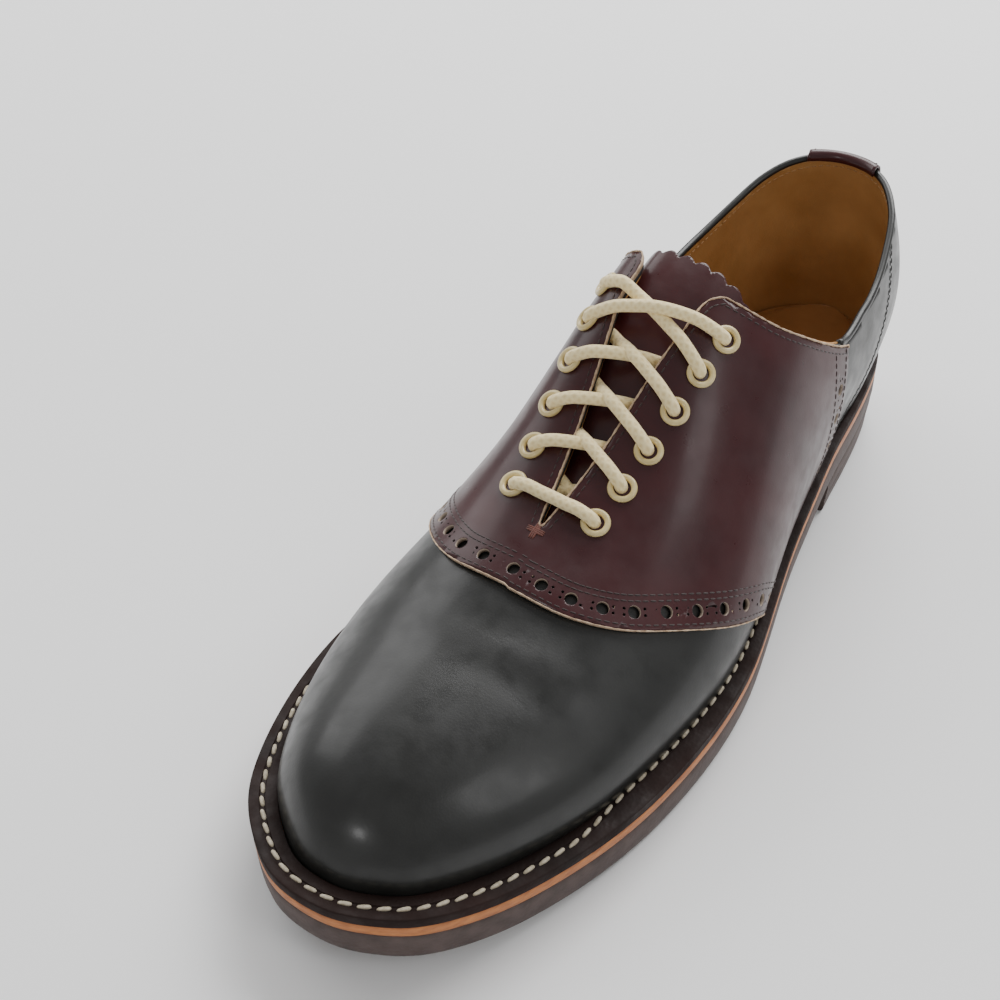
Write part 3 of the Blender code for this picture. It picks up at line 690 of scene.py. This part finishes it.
def bead(name, rims, mat):
    """The raw upper corner of a cut edge: a thin, slightly uneven line along each rim."""
    whole = bmesh.new()
    for rim, radius in rims:
        path = spaced(rim, 0.9 * MM)
        sizes = [(radius * (1 + 0.25 * math.sin(2.1 * k) + 0.2 * math.sin(5.3 * k + 1)),) * 2
                 for k in range(len(path))]
        cord = bpy.data.meshes.new(name)
        line_net = tube(path, sizes, 6)
        line_net.to_mesh(cord)
        line_net.free()
        whole.from_mesh(cord)
        bpy.data.meshes.remove(cord)
    return dressed(name, whole, [mat])


raw_line = bead("saddle_raw_edge", [(front_rim, 0.17 * MM)] + [(rim, 0.27 * MM) for rim in throat_rims + top_rims],
                raw_edge)

# Seams: rows of short waxed stitches along every edge of the saddle, sunk half into the leather, and the
# double row that holds the stiffener inside each quarter.
STITCH_LENGTH = 1.7 * MM
STITCH_WIDTH = 0.42 * MM
STITCH_GAP = 2.3 * MM


def thread(name, dark, light):
    mat, tree, shader = finish_of(name, 0.6, sheen=0.2)
    where = put(tree, "ShaderNodeTexCoord").outputs["Object"]
    tree.links.new(mottled(tree, where, 900.0, dark, light), shader.inputs["Base Color"])
    twist = put(tree, "ShaderNodeTexNoise", {"Vector": where, "Scale": 2600.0, "Detail": 2.0})
    bump = put(tree, "ShaderNodeBump", {"Height": twist.outputs["Fac"], "Strength": 0.5, "Distance": 0.1 * MM})
    tree.links.new(bump.outputs["Normal"], shader.inputs["Normal"])
    return mat


def stitches(name, rows, length, width, mat, lift=0.0, slant=0.0):
    """A seam: one lens-shaped stitch at each (place, way along, way out) of the rows."""
    template = bmesh.new()
    bmesh.ops.create_uvsphere(template, u_segments=8, v_segments=6, radius=0.5)
    bmesh.ops.rotate(template, verts=template.verts, matrix=Matrix.Rotation(math.pi / 2, 3, "Y"))
    for v in template.verts:
        v.co.x = math.copysign(0.5 * abs(2 * v.co.x) ** 0.55, v.co.x)
    template.verts.index_update()
    frames = []
    for place, ahead, out in rows:
        across = out.cross(ahead).normalized()
        ahead = (across.cross(out) + across * slant).normalized()
        across = out.cross(ahead)
        frames.append((place + out * lift, (ahead, across, out), (length, width, width)))
    return joined(name, template, frames, [mat])


brown_thread = thread("brown_thread", (0.014, 0.006, 0.005), (0.032, 0.013, 0.011))
rows = []
for rim, insets in ((front_rim, (1.5 * MM, 7.8 * MM, 9.4 * MM)), (back_rims[0], (1.6 * MM, 8.6 * MM)),
                    (back_rims[1], (1.6 * MM, 8.6 * MM)), (throat_rims[0], (2.0 * MM,)),
                    (throat_rims[1], (2.0 * MM,)), (top_rims[0], (2.2 * MM,)), (top_rims[1], (2.2 * MM,))):
    for inset in insets:
        rows += on_leather(saddle_surface, spaced(rim, STITCH_GAP, 1.5 * MM), inset)
saddle_seams = stitches("saddle_seams", rows, STITCH_LENGTH, STITCH_WIDTH, brown_thread)

COUNTER_SEAM = ((0.110, 1.03), (0.127, 0.86), (0.157, 0.66), (0.198, 0.48), (0.243, 0.36))
black_thread = thread("black_thread", (0.010, 0.010, 0.010), (0.030, 0.028, 0.026))
rows = []
for sign in (1, -1):
    for shift in (0.0, 1.6 * MM):
        path = []
        for at, up in through(COUNTER_SEAM):
            start = Vector((sign * 90 * MM, world_y(at) + shift, up * INSTEP_HEIGHT))
            hit = upper_surface.ray_cast(start, Vector((-sign, 0, 0)))[0]
            if hit:
                path.append(hit)
        rows += on_leather(upper_surface, spaced(path, STITCH_GAP))
quarter_seams = stitches("quarter_seams", rows, STITCH_LENGTH, STITCH_WIDTH, black_thread)

tan_thread = thread("tan_thread", (0.30, 0.15, 0.05), (0.50, 0.28, 0.11))
rows = on_leather(lining_surface, spaced(lining_rim, STITCH_GAP, 2 * MM), 3.2 * MM)
lining_seam = stitches("lining_seam", rows, STITCH_LENGTH, STITCH_WIDTH, tan_thread)

# Binding: a narrow black strip folded over the collar of the quarters, where upper and lining meet.
BINDING_RADIUS = 1.15 * MM


def quarter_rim(place):
    return before_back(place) < 2 * MM


collar = [p for p in upper_rim if quarter_rim(p)]
collar_path = [spot - out * (UPPER_WALL / 2) for spot, _, out in on_leather(upper_surface, spaced(collar, 2 * MM))]
binding = dressed("collar_binding", tube(collar_path, [(BINDING_RADIUS, BINDING_RADIUS)] * len(collar_path), 12),
                  [black_leather])

# Heel tab: a short burgundy leather stitched over the back seam and folded over the collar's edge.
TAB_WIDTH = 23.0 * MM
TAB_DROP = 20.0 * MM
TAB_ROUND = 8.0 * MM
TAB_WALL = 0.8 * MM
TAB_INSIDE = 0.8 * MM
TAB_ACROSS = 24
TAB_DOWN = 36

tab_middle = world_x(SECTIONS[LAST_ROW][1])
tab_top = TOPLINE["lat"][1][1] * INSTEP_HEIGHT
outer_net = leather_net(UPPER_WALL + 0.25 * MM, creased=False)
outer_form = BVHTree.FromBMesh(outer_net)
outer_net.free()
inner_net = leather_net(-0.3 * MM, creased=False)
inner_form = BVHTree.FromBMesh(inner_net)
inner_net.free()


def back_wall(form, x, z):
    """The wall at the back of the heel, found from behind at one height."""
    return form.ray_cast(Vector((x, world_y(-0.15), z)), Vector((0, -1, 0)))[0]


def tab_place(i, j):
    across = 2 * i / TAB_ACROSS - 1
    x = tab_middle + across * TAB_WIDTH / 2
    foot = tab_top - TAB_DROP + TAB_ROUND * (1 - math.sqrt(max(1 - across ** 2, 0)))
    outside = back_wall(outer_form, x, tab_top)
    inside = back_wall(inner_form, x, tab_top)
    middle = (outside + inside) / 2
    half = (outside - inside) / 2
    share = j / TAB_DOWN
    if share < 0.6:
        return back_wall(outer_form, x, foot + (tab_top - foot) * share / 0.6)
    if share < 0.8:
        turn = math.pi * (share - 0.6) / 0.2
        return middle + half * math.cos(turn) + Vector((0, 0, 1)) * (BINDING_RADIUS + 0.15 * MM) * math.sin(turn)
    return back_wall(inner_form, x, tab_top - TAB_INSIDE * (share - 0.8) / 0.2)


tab_net = wrap(TAB_ACROSS, TAB_DOWN, tab_place)
if min(tab_net.faces, key=lambda f: f.calc_center_median().z).normal.y < 0:
    bmesh.ops.reverse_faces(tab_net, faces=tab_net.faces)
tab_net.normal_update()
tab_surface = BVHTree.FromBMesh(tab_net)
tab_edge = rim_chain(tab_net, lambda p: p.y > back_wall(inner_form, p.x, min(p.z, tab_top)).y + 1.5 * MM)
tab_rows = [(spot + out * TAB_WALL, ahead, out)
            for spot, ahead, out in on_leather(tab_surface, spaced(tab_edge, STITCH_GAP, 1 * MM), 1.5 * MM)]
tab = walled(dressed("heel_tab_leather", tab_net, [burgundy_leather, burgundy_leather]), TAB_WALL, 1)
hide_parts("heel_tab")
tab_seam = stitches("heel_tab_seam", tab_rows, STITCH_LENGTH, STITCH_WIDTH, brown_thread)

# Tongue: burgundy leather behind the facings, with a pinked top edge.
TONGUE_TOP = 0.369
TONGUE_FULL = 0.445
TONGUE_END = 0.690
TONGUE_TOP_WIDTH = 56.0 * MM
TONGUE_END_WIDTH = 30.0 * MM
TONGUE_WALL = 1.6 * MM
TONGUE_DROP = 1.9 * MM
PINK_PITCH = 5.2 * MM
PINK_DEPTH = 1.5 * MM
TONGUE_CORNER = 8.0 * MM
TONGUE_LOWEST = 37 * MM


def tongue_middle(station):
    share = min(max((station - TONGUE_TOP) / (TONGUE_END - TONGUE_TOP), 0), 1)
    return world_x(line("ridge", 12.0) + (line("ridge", 8.5) - line("ridge", 12.0)) * share)


def on_tongue(place):
    station = station_at(place.y)
    away = abs(place.x - tongue_middle(station))
    share = min(max((station - TONGUE_FULL) / (TONGUE_END - TONGUE_FULL), 0), 1)
    half = (TONGUE_TOP_WIDTH + (TONGUE_END_WIDTH - TONGUE_TOP_WIDTH) * share) / 2
    pink = PINK_DEPTH * abs(math.sin(math.pi * (place.x - tongue_middle(station)) / PINK_PITCH))
    round_top = max(away - (TONGUE_TOP_WIDTH / 2 - TONGUE_CORNER), 0) ** 2 / TONGUE_CORNER
    top = (station - TONGUE_TOP) * LAST_LENGTH - PINK_DEPTH + pink - round_top
    return min(half - away, (TONGUE_END - station) * LAST_LENGTH, top, place.z - TONGUE_LOWEST)


tongue_net = leather_net(-TONGUE_DROP, creased=False)
bmesh.ops.delete(tongue_net, geom=[f for f in tongue_net.faces if on_tongue(f.calc_center_median()) < -9 * MM],
                 context="FACES")
bmesh.ops.subdivide_edges(tongue_net, edges=[e for e in tongue_net.edges if station_at(e.verts[0].co.y) < 0.42],
                          cuts=2, use_grid_fill=True)
cut_along(tongue_net, on_tongue)
tongue = walled(dressed("tongue_leather", tongue_net, [burgundy_leather, raw_edge]), TONGUE_WALL, -1)
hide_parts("tongue")

# Sock: the tan leather that the foot stands on, with a rounded heel pad under it that shows as a rise.
INSOLE = 3.0 * MM
INSOLE_INSET = 1.0 * MM
SOCK_ACROSS = 32
SOCK_ROWS = 6
PAD_RISE = 1.6 * MM


def sock_place(i, j):
    u = i / SOCK_ROWS
    share = j / SOCK_ACROSS
    lat = edge_point(u, "lat")
    med = edge_point(u, "med")
    width = (lat - med).length
    inset = min(INSOLE_INSET / width, 0.5) if width > 0.1 * MM else 0.5
    spot = med.lerp(lat, inset + (1 - 2 * inset) * share)
    station = station_at(spot.y)
    middle = 1 - (2 * share - 1) ** 2
    pad = smooth_step((0.245 - station) / 0.03) * smooth_step(middle * 2.2 - 0.25)
    return Vector((spot.x, spot.y, feather(station) + INSOLE + PAD_RISE * pad - 1.0 * MM * middle))


sock_leather = leather("tan_sock_leather", (0.36, 0.165, 0.052), (0.50, 0.25, 0.088), 0.36, 0.3, 0.25,
                       grain=0.10, wave=0.3)
sock_net = wrap(LAST_ROW * SOCK_ROWS, SOCK_ACROSS, sock_place)
if sock_net.faces[:][0].normal.z < 0:
    bmesh.ops.reverse_faces(sock_net, faces=sock_net.faces)
sock = walled(dressed("sock", sock_net, [sock_leather]), 1.5 * MM, -1, rim=0)
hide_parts("insole")

# Welt: a dark waxed strip round the foot of the upper, with a channel for the thick cream stitches that
# sew it to the sole.
WELT = 3.0 * MM
WELT_EASE = 0.15 * MM
SOLE_STITCH = 3.5 * MM
SOLE_STITCH_WIDTH = 1.25 * MM
SOLE_STITCH_GAP = 4.6 * MM
WELT_PROFILE = ((0.0, 0.0), (0.0, 0.96), (0.05, 1.0), (0.42, 1.0), (0.46, 0.86), (0.60, 0.86), (0.64, 1.0),
                (0.94, 0.99), (0.98, 0.95), (1.0, 0.86), (1.0, 0.0))

sole_rows = [i / SOCK_ROWS for i in range(LAST_ROW * SOCK_ROWS + 1)]
sole_loop = [(u, "lat") for u in sole_rows] + [(u, "med") for u in sole_rows[-2:0:-1]]
loop_points = [edge_point(u, side) for u, side in sole_loop]
loop_outs = []
for k in range(len(loop_points)):
    ahead = loop_points[(k + 1) % len(loop_points)] - loop_points[k - 1]
    loop_outs.append(Vector((-ahead.y, ahead.x)).normalized())
if loop_outs[len(loop_points) // 4].x < 0:
    loop_outs = [-out for out in loop_outs]


def edge_out(k, distance):
    k = k % len(loop_points)
    return loop_points[k] + loop_outs[k] * distance


def welt_inside(station):
    """The welt's inner edge, close to the upper; the saddle's foot stands on the welt."""
    return UPPER_WALL + WELT_EASE


def across_welt(k, share):
    """A place on the welt; in the waist its channel runs close under the upper."""
    station = station_at(loop_points[k % len(loop_points)].y)
    waist = smooth_step((0.84 - station) / 0.09)
    inner = welt_inside(station)
    return edge_out(k, inner + (sole_margin(station) - inner) * share ** (1 + 2.2 * waist))


def welt_place(i, j):
    share, up = WELT_PROFILE[j % len(WELT_PROFILE)]
    point = across_welt(i, share)
    return Vector((point.x, point.y, feather(station_at(point.y)) + WELT * up))


welt_leather = leather("dark_welt_leather", (0.010, 0.0055, 0.0045), (0.022, 0.010, 0.008), 0.66, 0.0, 0.3,
                       grain=0.4, wave=0.7, pore=900.0)
welt_leather.node_tree.nodes["Principled BSDF"].inputs["Specular IOR Level"].default_value = 0.2
welt_net = wrap(len(loop_points), len(WELT_PROFILE), welt_place)
welt = dressed("welt_strip", welt_net, [welt_leather], sharp=50)
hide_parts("welt")

cream_thread = thread("cream_waxed_thread", (0.36, 0.30, 0.20), (0.62, 0.55, 0.42))
sew_line = []
for k in range(len(loop_points)):
    point = across_welt(k, 0.53)
    if station_at(loop_points[k].y) > HEEL_BREAST:
        sew_line.append((k, Vector((point.x, point.y, feather(station_at(point.y)) + WELT * 0.90))))
sew_places = [p for _, p in sorted(sew_line, key=lambda s: (s[0] + len(loop_points) // 2) % len(loop_points))]
places = spaced(sew_places, SOLE_STITCH_GAP)
rows = [(p, (places[min(k + 1, len(places) - 1)] - places[max(k - 1, 0)]).normalized(), Vector((0, 0, 1)))
        for k, p in enumerate(places)]
sole_stitches = stitches("welt_stitches", rows, SOLE_STITCH, SOLE_STITCH_WIDTH, cream_thread, slant=0.12)

# Bottom: a natural leather midsole whose edge is finished orange-tan, a dark brown rubber outsole, and a
# heel of the same rubber. The layers are cemented and trimmed together.
def sole_layer(name, profile, low, high, first=0):
    """A layer of the bottom; profile holds (out, up) from its foot to its top, up as a share."""
    half = len(sole_rows) - 1
    count = len(profile)

    def place(i, j):
        j = j % (2 * count)
        knot = first + i if j < count else len(loop_points) - first - i
        out, up = profile[j] if j < count else profile[2 * count - 1 - j]
        point = edge_out(knot, sole_margin(station_at(loop_points[knot % len(loop_points)].y)) + out)
        station = station_at(point.y)
        return Vector((point.x, point.y, low(station) + (high(station) - low(station)) * up))
    net = wrap(half - first, 2 * count, place)
    if first:
        bmesh.ops.holes_fill(net, edges=net.edges, sides=2 * count)
        bmesh.ops.recalc_face_normals(net, faces=net.faces)
    return net


def edge_finish(name, dark, light, rough, streak, bump=0.35, coat=0.0):
    """A trimmed sole edge: fine marks along it, and patches of wear."""
    mat, tree, shader = finish_of(name, rough, coat, 0.35)
    where = put(tree, "ShaderNodeTexCoord").outputs["Object"]
    squash = put(tree, "ShaderNodeMapping", {"Vector": where, "Scale": (1.0, 1.0, streak)})
    tree.links.new(mottled(tree, squash.outputs["Vector"], 220.0, dark, light), shader.inputs["Base Color"])
    rub = put(tree, "ShaderNodeTexNoise", {"Vector": squash.outputs["Vector"], "Scale": 800.0, "Detail": 6.0})
    lift = put(tree, "ShaderNodeBump", {"Height": rub.outputs["Fac"], "Strength": bump, "Distance": 0.3 * MM})
    tree.links.new(lift.outputs["Normal"], shader.inputs["Normal"])
    return mat


MIDSOLE_EDGE = ((-0.7 * MM, 0.0), (-0.2 * MM, 0.1), (0.0, 0.3), (0.0, 0.75), (-0.25 * MM, 0.93), (-0.7 * MM, 1.0))
OUTSOLE_EDGE = ((-1.6 * MM, 0.0), (-0.8 * MM, 0.03), (-0.3 * MM, 0.14), (0.0, 0.4), (0.0, 0.8),
                (-0.25 * MM, 0.95), (-0.6 * MM, 1.0))
HEEL_EDGE = ((-2.2 * MM, 0.0), (-1.4 * MM, 0.03), (-1.0 * MM, 0.12), (-0.8 * MM, 0.44), (-1.15 * MM, 0.47),
             (-0.75 * MM, 0.50), (-0.3 * MM, 0.93), (-0.6 * MM, 1.0))

midsole_edge = edge_finish("orange_tan_edge", (0.33, 0.100, 0.022), (0.56, 0.200, 0.050), 0.50, 3.0, 0.4, 0.1)
sole_rubber = edge_finish("brown_rubber", (0.050, 0.031, 0.027), (0.088, 0.058, 0.051), 0.60, 1.0, 0.6)

midsole = dressed("midsole_layer", sole_layer("midsole", MIDSOLE_EDGE,
                                              lambda at: tread(at) + OUTSOLE + 0.05 * MM,
                                              lambda at: feather(at)), [midsole_edge], sharp=50)
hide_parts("midsole")
outsole = dressed("outsole_layer", sole_layer("outsole", OUTSOLE_EDGE, tread, lambda at: tread(at) + OUTSOLE),
                  [sole_rubber], sharp=50)
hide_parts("outsole")
breast = min(range(len(sole_rows)), key=lambda k: abs(station_at(loop_points[k].y) - HEEL_BREAST))
heel = dressed("heel_block", sole_layer("heel", HEEL_EDGE, lambda at: 0.0, lambda at: tread(at) - 0.05 * MM,
                                        breast), [sole_rubber], sharp=40)
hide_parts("heel")

# Eyelets: cream enamelled brass rings, set through both leathers and rolled over at the top.
EYELETS = 6
EYELET_FIRST = (0.630, 0.132, -0.168)
EYELET_LAST = (0.432, 0.200, -0.238)
EYELET_BORE = 2.3 * MM
EYELET_FLANGE = 4.0 * MM
EYELET_RISE = 1.25 * MM
EYELET_DEPTH = 3.4 * MM
EYELET_SIDES = 40

eyelet_net = leather_net(SADDLE_OUT, creased=False)
facing_form = BVHTree.FromBMesh(eyelet_net)
eyelet_net.free()


def drop(x, y):
    """The saddle's outer face under a point seen from above, and its normal."""
    hit, normal, _, _ = facing_form.ray_cast(Vector((x, y, 2 * INSTEP_HEIGHT)), Vector((0, 0, -1)))
    return hit, normal


def eyelet_seat(number, side):
    share = number / (EYELETS - 1)
    at, lat, med = [a + (b - a) * share for a, b in zip(EYELET_FIRST, EYELET_LAST)]
    return drop(world_x(lat if side == "lat" else med), world_y(at))


seats = {side: [eyelet_seat(n, side) for n in range(EYELETS)] for side in ("lat", "med")}
RING_PROFILE = [(EYELET_BORE, -EYELET_DEPTH), (EYELET_BORE, 0.35 * EYELET_RISE)]
RING_PROFILE += [((EYELET_BORE + EYELET_FLANGE) / 2 - (EYELET_FLANGE - EYELET_BORE) / 2 * math.cos(a),
                  0.35 * EYELET_RISE + 0.65 * EYELET_RISE * math.sin(a)) for a in
                 [math.pi * k / 10 for k in range(1, 10)]]
RING_PROFILE += [(EYELET_FLANGE, 0.3 * EYELET_RISE), (EYELET_FLANGE - 0.1 * MM, 0.02 * MM),
                 (EYELET_BORE + 0.4 * MM, 0.02 * MM), (EYELET_BORE + 0.35 * MM, -EYELET_DEPTH)]


def ring(seat):
    centre, normal = seat
    turn = normal.to_track_quat("Z", "Y")

    def place(i, j):
        radius, height = RING_PROFILE[j % len(RING_PROFILE)]
        angle = 2 * math.pi * (i % EYELET_SIDES) / EYELET_SIDES
        return centre + turn @ Vector((radius * math.cos(angle), radius * math.sin(angle), height))
    return wrap(EYELET_SIDES, len(RING_PROFILE), place)


enamel, tree, shader = finish_of("cream_enamel", 0.32, 0.4, 0.15)
enamel_where = put(tree, "ShaderNodeTexCoord").outputs["Object"]
tree.links.new(mottled(tree, enamel_where, 300.0, (0.56, 0.44, 0.19), (0.70, 0.57, 0.28)),
               shader.inputs["Base Color"])
for side in seats:
    for n, seat in enumerate(seats[side]):
        eyelet = dressed(f"ring_{side}_{n + 1}", ring(seat), [enamel], sharp=60)
        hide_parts(f"eyelet_{side}_{n + 1}")

# Lace: one round braided cotton cord. A bar crosses outside at the bottom; above it each strand comes out
# of an eyelet, dives into the throat and runs under the other facing to the next eyelet up. The top two
# crossings lie outside, and the ends stop inside at the top eyelets.
LACE_DIAMETER = 3.6 * MM
LACE_STEP = 0.8 * MM
LACE_SIDES = 14
UNDER = SADDLE_OUT + 1.0 * MM
OVER = EYELET_RISE * 0.7 + LACE_DIAMETER * 0.42
REST = LACE_DIAMETER * 0.46


def lifted(seat, height):
    centre, normal = seat
    return centre + normal * height


def gap_place(a, b, share, height):
    """A place between two eyelets, a height over the level of the facings."""
    spot = a[0].lerp(b[0], share)
    hit, normal = drop(spot.x, spot.y)
    return hit + normal * height


def toward(a, b, shift, height):
    """A place over an eyelet, shifted from its middle towards another."""
    return lifted(a, height) + (b[0] - a[0]).normalized() * shift


def outside_run(a, b, hump=0.0):
    """Over the facings from one eyelet into another."""
    shares = (0.20, 0.34, 0.5, 0.66, 0.80)
    heights = (OVER, REST + hump * 0.7, REST + hump, REST + hump * 0.7, OVER)
    return ([toward(a, b, 0.5 * MM, 0.0), toward(a, b, 1.0 * MM, OVER * 0.62)]
            + [gap_place(a, b, s, h) for s, h in zip(shares, heights)]
            + [toward(b, a, 1.0 * MM, OVER * 0.62), toward(b, a, 0.5 * MM, 0.0)])


def diving_run(a, b, dive=0.0):
    """Out of one eyelet, over its facing, down into the throat and under the other facing."""
    return [toward(a, b, 0.5 * MM, 0.0), toward(a, b, 1.0 * MM, OVER * 0.62), gap_place(a, b, 0.17, OVER),
            gap_place(a, b, 0.29, REST + 0.2 * MM), gap_place(a, b, 0.42, REST * 0.5 + dive),
            gap_place(a, b, 0.56, -1.4 * MM + dive), gap_place(a, b, 0.68, -UNDER + 0.6 * MM),
            gap_place(a, b, 0.84, -UNDER), lifted(b, -UNDER + 0.3 * MM), lifted(b, -2.0 * MM)]


lat = seats["lat"]
med = seats["med"]


def half_lace(near, far):
    """From the bottom eyelet's inside up to the top: near and far swap at each eyelet."""
    route = [lifted(near[0], -2.0 * MM), lifted(near[0], -UNDER + 0.3 * MM),
             gap_place(near[0], far[1], 0.5, -UNDER), lifted(far[1], -UNDER + 0.3 * MM), lifted(far[1], -2.0 * MM)]
    here, there = far, near
    for n in range(1, EYELETS - 2):
        route += diving_run(here[n], there[n + 1], 0.9 * MM if here is lat else -0.6 * MM)
        here, there = there, here
    route += outside_run(here[EYELETS - 2], there[EYELETS - 1], 1.9 * MM if here is med else -0.6 * MM)
    return route + [lifted(there[EYELETS - 1], -2.4 * MM)]


left_half = half_lace(med, lat)
right_half = half_lace(lat, med)
lace_route = right_half[::-1] + outside_run(lat[0], med[0]) + left_half


def smooth_path(points, step):
    """Equal steps along a smooth curve through a cord's points."""
    clean = [points[0]]
    for p in points[1:]:
        if (p - clean[-1]).length > 0.6 * MM:
            clean.append(p)
    knots = [tuple(p) for p in clean]
    fine = []
    for k in range(len(knots) - 1):
        p0, p1, p2, p3 = [np.array(knots[min(max(k + d, 0), len(knots) - 1)]) for d in (-1, 0, 1, 2)]
        t0, t1, t2, t3 = np.cumsum([0.0] + [max(np.linalg.norm(b - a), 1e-6) ** 0.5
                                            for a, b in ((p0, p1), (p1, p2), (p2, p3))])
        for t in np.linspace(t1, t2, 9)[:-1]:
            a1 = (t1 - t) / (t1 - t0) * p0 + (t - t0) / (t1 - t0) * p1
            a2 = (t2 - t) / (t2 - t1) * p1 + (t - t1) / (t2 - t1) * p2
            a3 = (t3 - t) / (t3 - t2) * p2 + (t - t2) / (t3 - t2) * p3
            b1 = (t2 - t) / (t2 - t0) * a1 + (t - t0) / (t2 - t0) * a2
            b2 = (t3 - t) / (t3 - t1) * a2 + (t - t1) / (t3 - t1) * a3
            fine.append(Vector((t2 - t) / (t2 - t1) * b1 + (t - t1) / (t2 - t1) * b2))
    fine.append(Vector(knots[-1]))
    return spaced(fine, step)


lace_places = smooth_path(lace_route, LACE_STEP)
lace_sizes = [(LACE_DIAMETER / 2, LACE_DIAMETER / 2)] * len(lace_places)
lace_length = sum((b - a).length for a, b in zip(lace_places, lace_places[1:]))

cotton, tree, shader = finish_of("waxed_cotton_braid", 0.85, sheen=0.3)
uv = put(tree, "ShaderNodeTexCoord").outputs["UV"]
BRAID_PITCH = 1.9 * MM
weave = []
for way in (1, -1):
    turned = put(tree, "ShaderNodeMapping", {"Vector": uv, "Scale": (lace_length / BRAID_PITCH, 6.0 * way, 1.0)})
    wave = put(tree, "ShaderNodeTexWave", {"Vector": turned.outputs["Vector"], "Scale": 0.5, "Distortion": 0.6,
                                           "Detail": 1.0}, wave_type="BANDS", bands_direction="DIAGONAL")
    weave.append(wave.outputs["Fac"])
cross = put(tree, "ShaderNodeMath", {0: weave[0], 1: weave[1]}, operation="MAXIMUM")
lace_where = put(tree, "ShaderNodeTexCoord").outputs["Object"]
fuzz = put(tree, "ShaderNodeTexNoise", {"Vector": lace_where, "Scale": 2500.0, "Detail": 3.0})
mass = put(tree, "ShaderNodeBump", {"Height": cross.outputs["Value"], "Strength": 0.35, "Distance": 0.3 * MM})
fine = put(tree, "ShaderNodeBump", {"Height": fuzz.outputs["Fac"], "Strength": 0.5, "Distance": 0.2 * MM,
                                    "Normal": mass.outputs["Normal"]})
tree.links.new(fine.outputs["Normal"], shader.inputs["Normal"])
# Painted shade: the braid's grooves are painted a darker tan and its raised strands a lighter one, following the
# same weave that gives the bump.
shade = put(tree, "ShaderNodeMix", data_type="RGBA")
tree.links.new(cross.outputs["Value"], shade.inputs[0])
shade.inputs[6].default_value = (0.78, 0.61, 0.30, 1)
shade.inputs[7].default_value = (0.92, 0.77, 0.43, 1)
tree.links.new(shade.outputs[2], shader.inputs["Base Color"])

lace = dressed("lace", tube(lace_places, lace_sizes, LACE_SIDES), [cotton], sharp=80)
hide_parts("lace_bar_1", "lace_cross_2", "lace_cross_3", "lace_cross_4", "lace_cross_top")

# Bartack: a small cross of red-brown thread that stops the throat from tearing.
BARTACK_ARM = 5.5 * MM
rust_thread = thread("rust_thread", (0.085, 0.018, 0.010), (0.150, 0.034, 0.018))
tack_spot = saddle_surface.find_nearest(Vector((world_x(-0.012), world_y(THROAT[0][0] + 0.010), 64 * MM)))
rows = []
for turn in (0.0, math.pi / 2):
    for shift in (-1, 0, 1):
        way = Vector((math.cos(turn), math.sin(turn), 0))
        off = Vector((-math.sin(turn), math.cos(turn), 0)) * 0.55 * MM * shift
        spot, out, _, _ = saddle_surface.find_nearest(tack_spot[0] + off)
        rows.append((spot, way, out))
bartack = stitches("bartack", rows, BARTACK_ARM, 0.7 * MM, rust_thread)
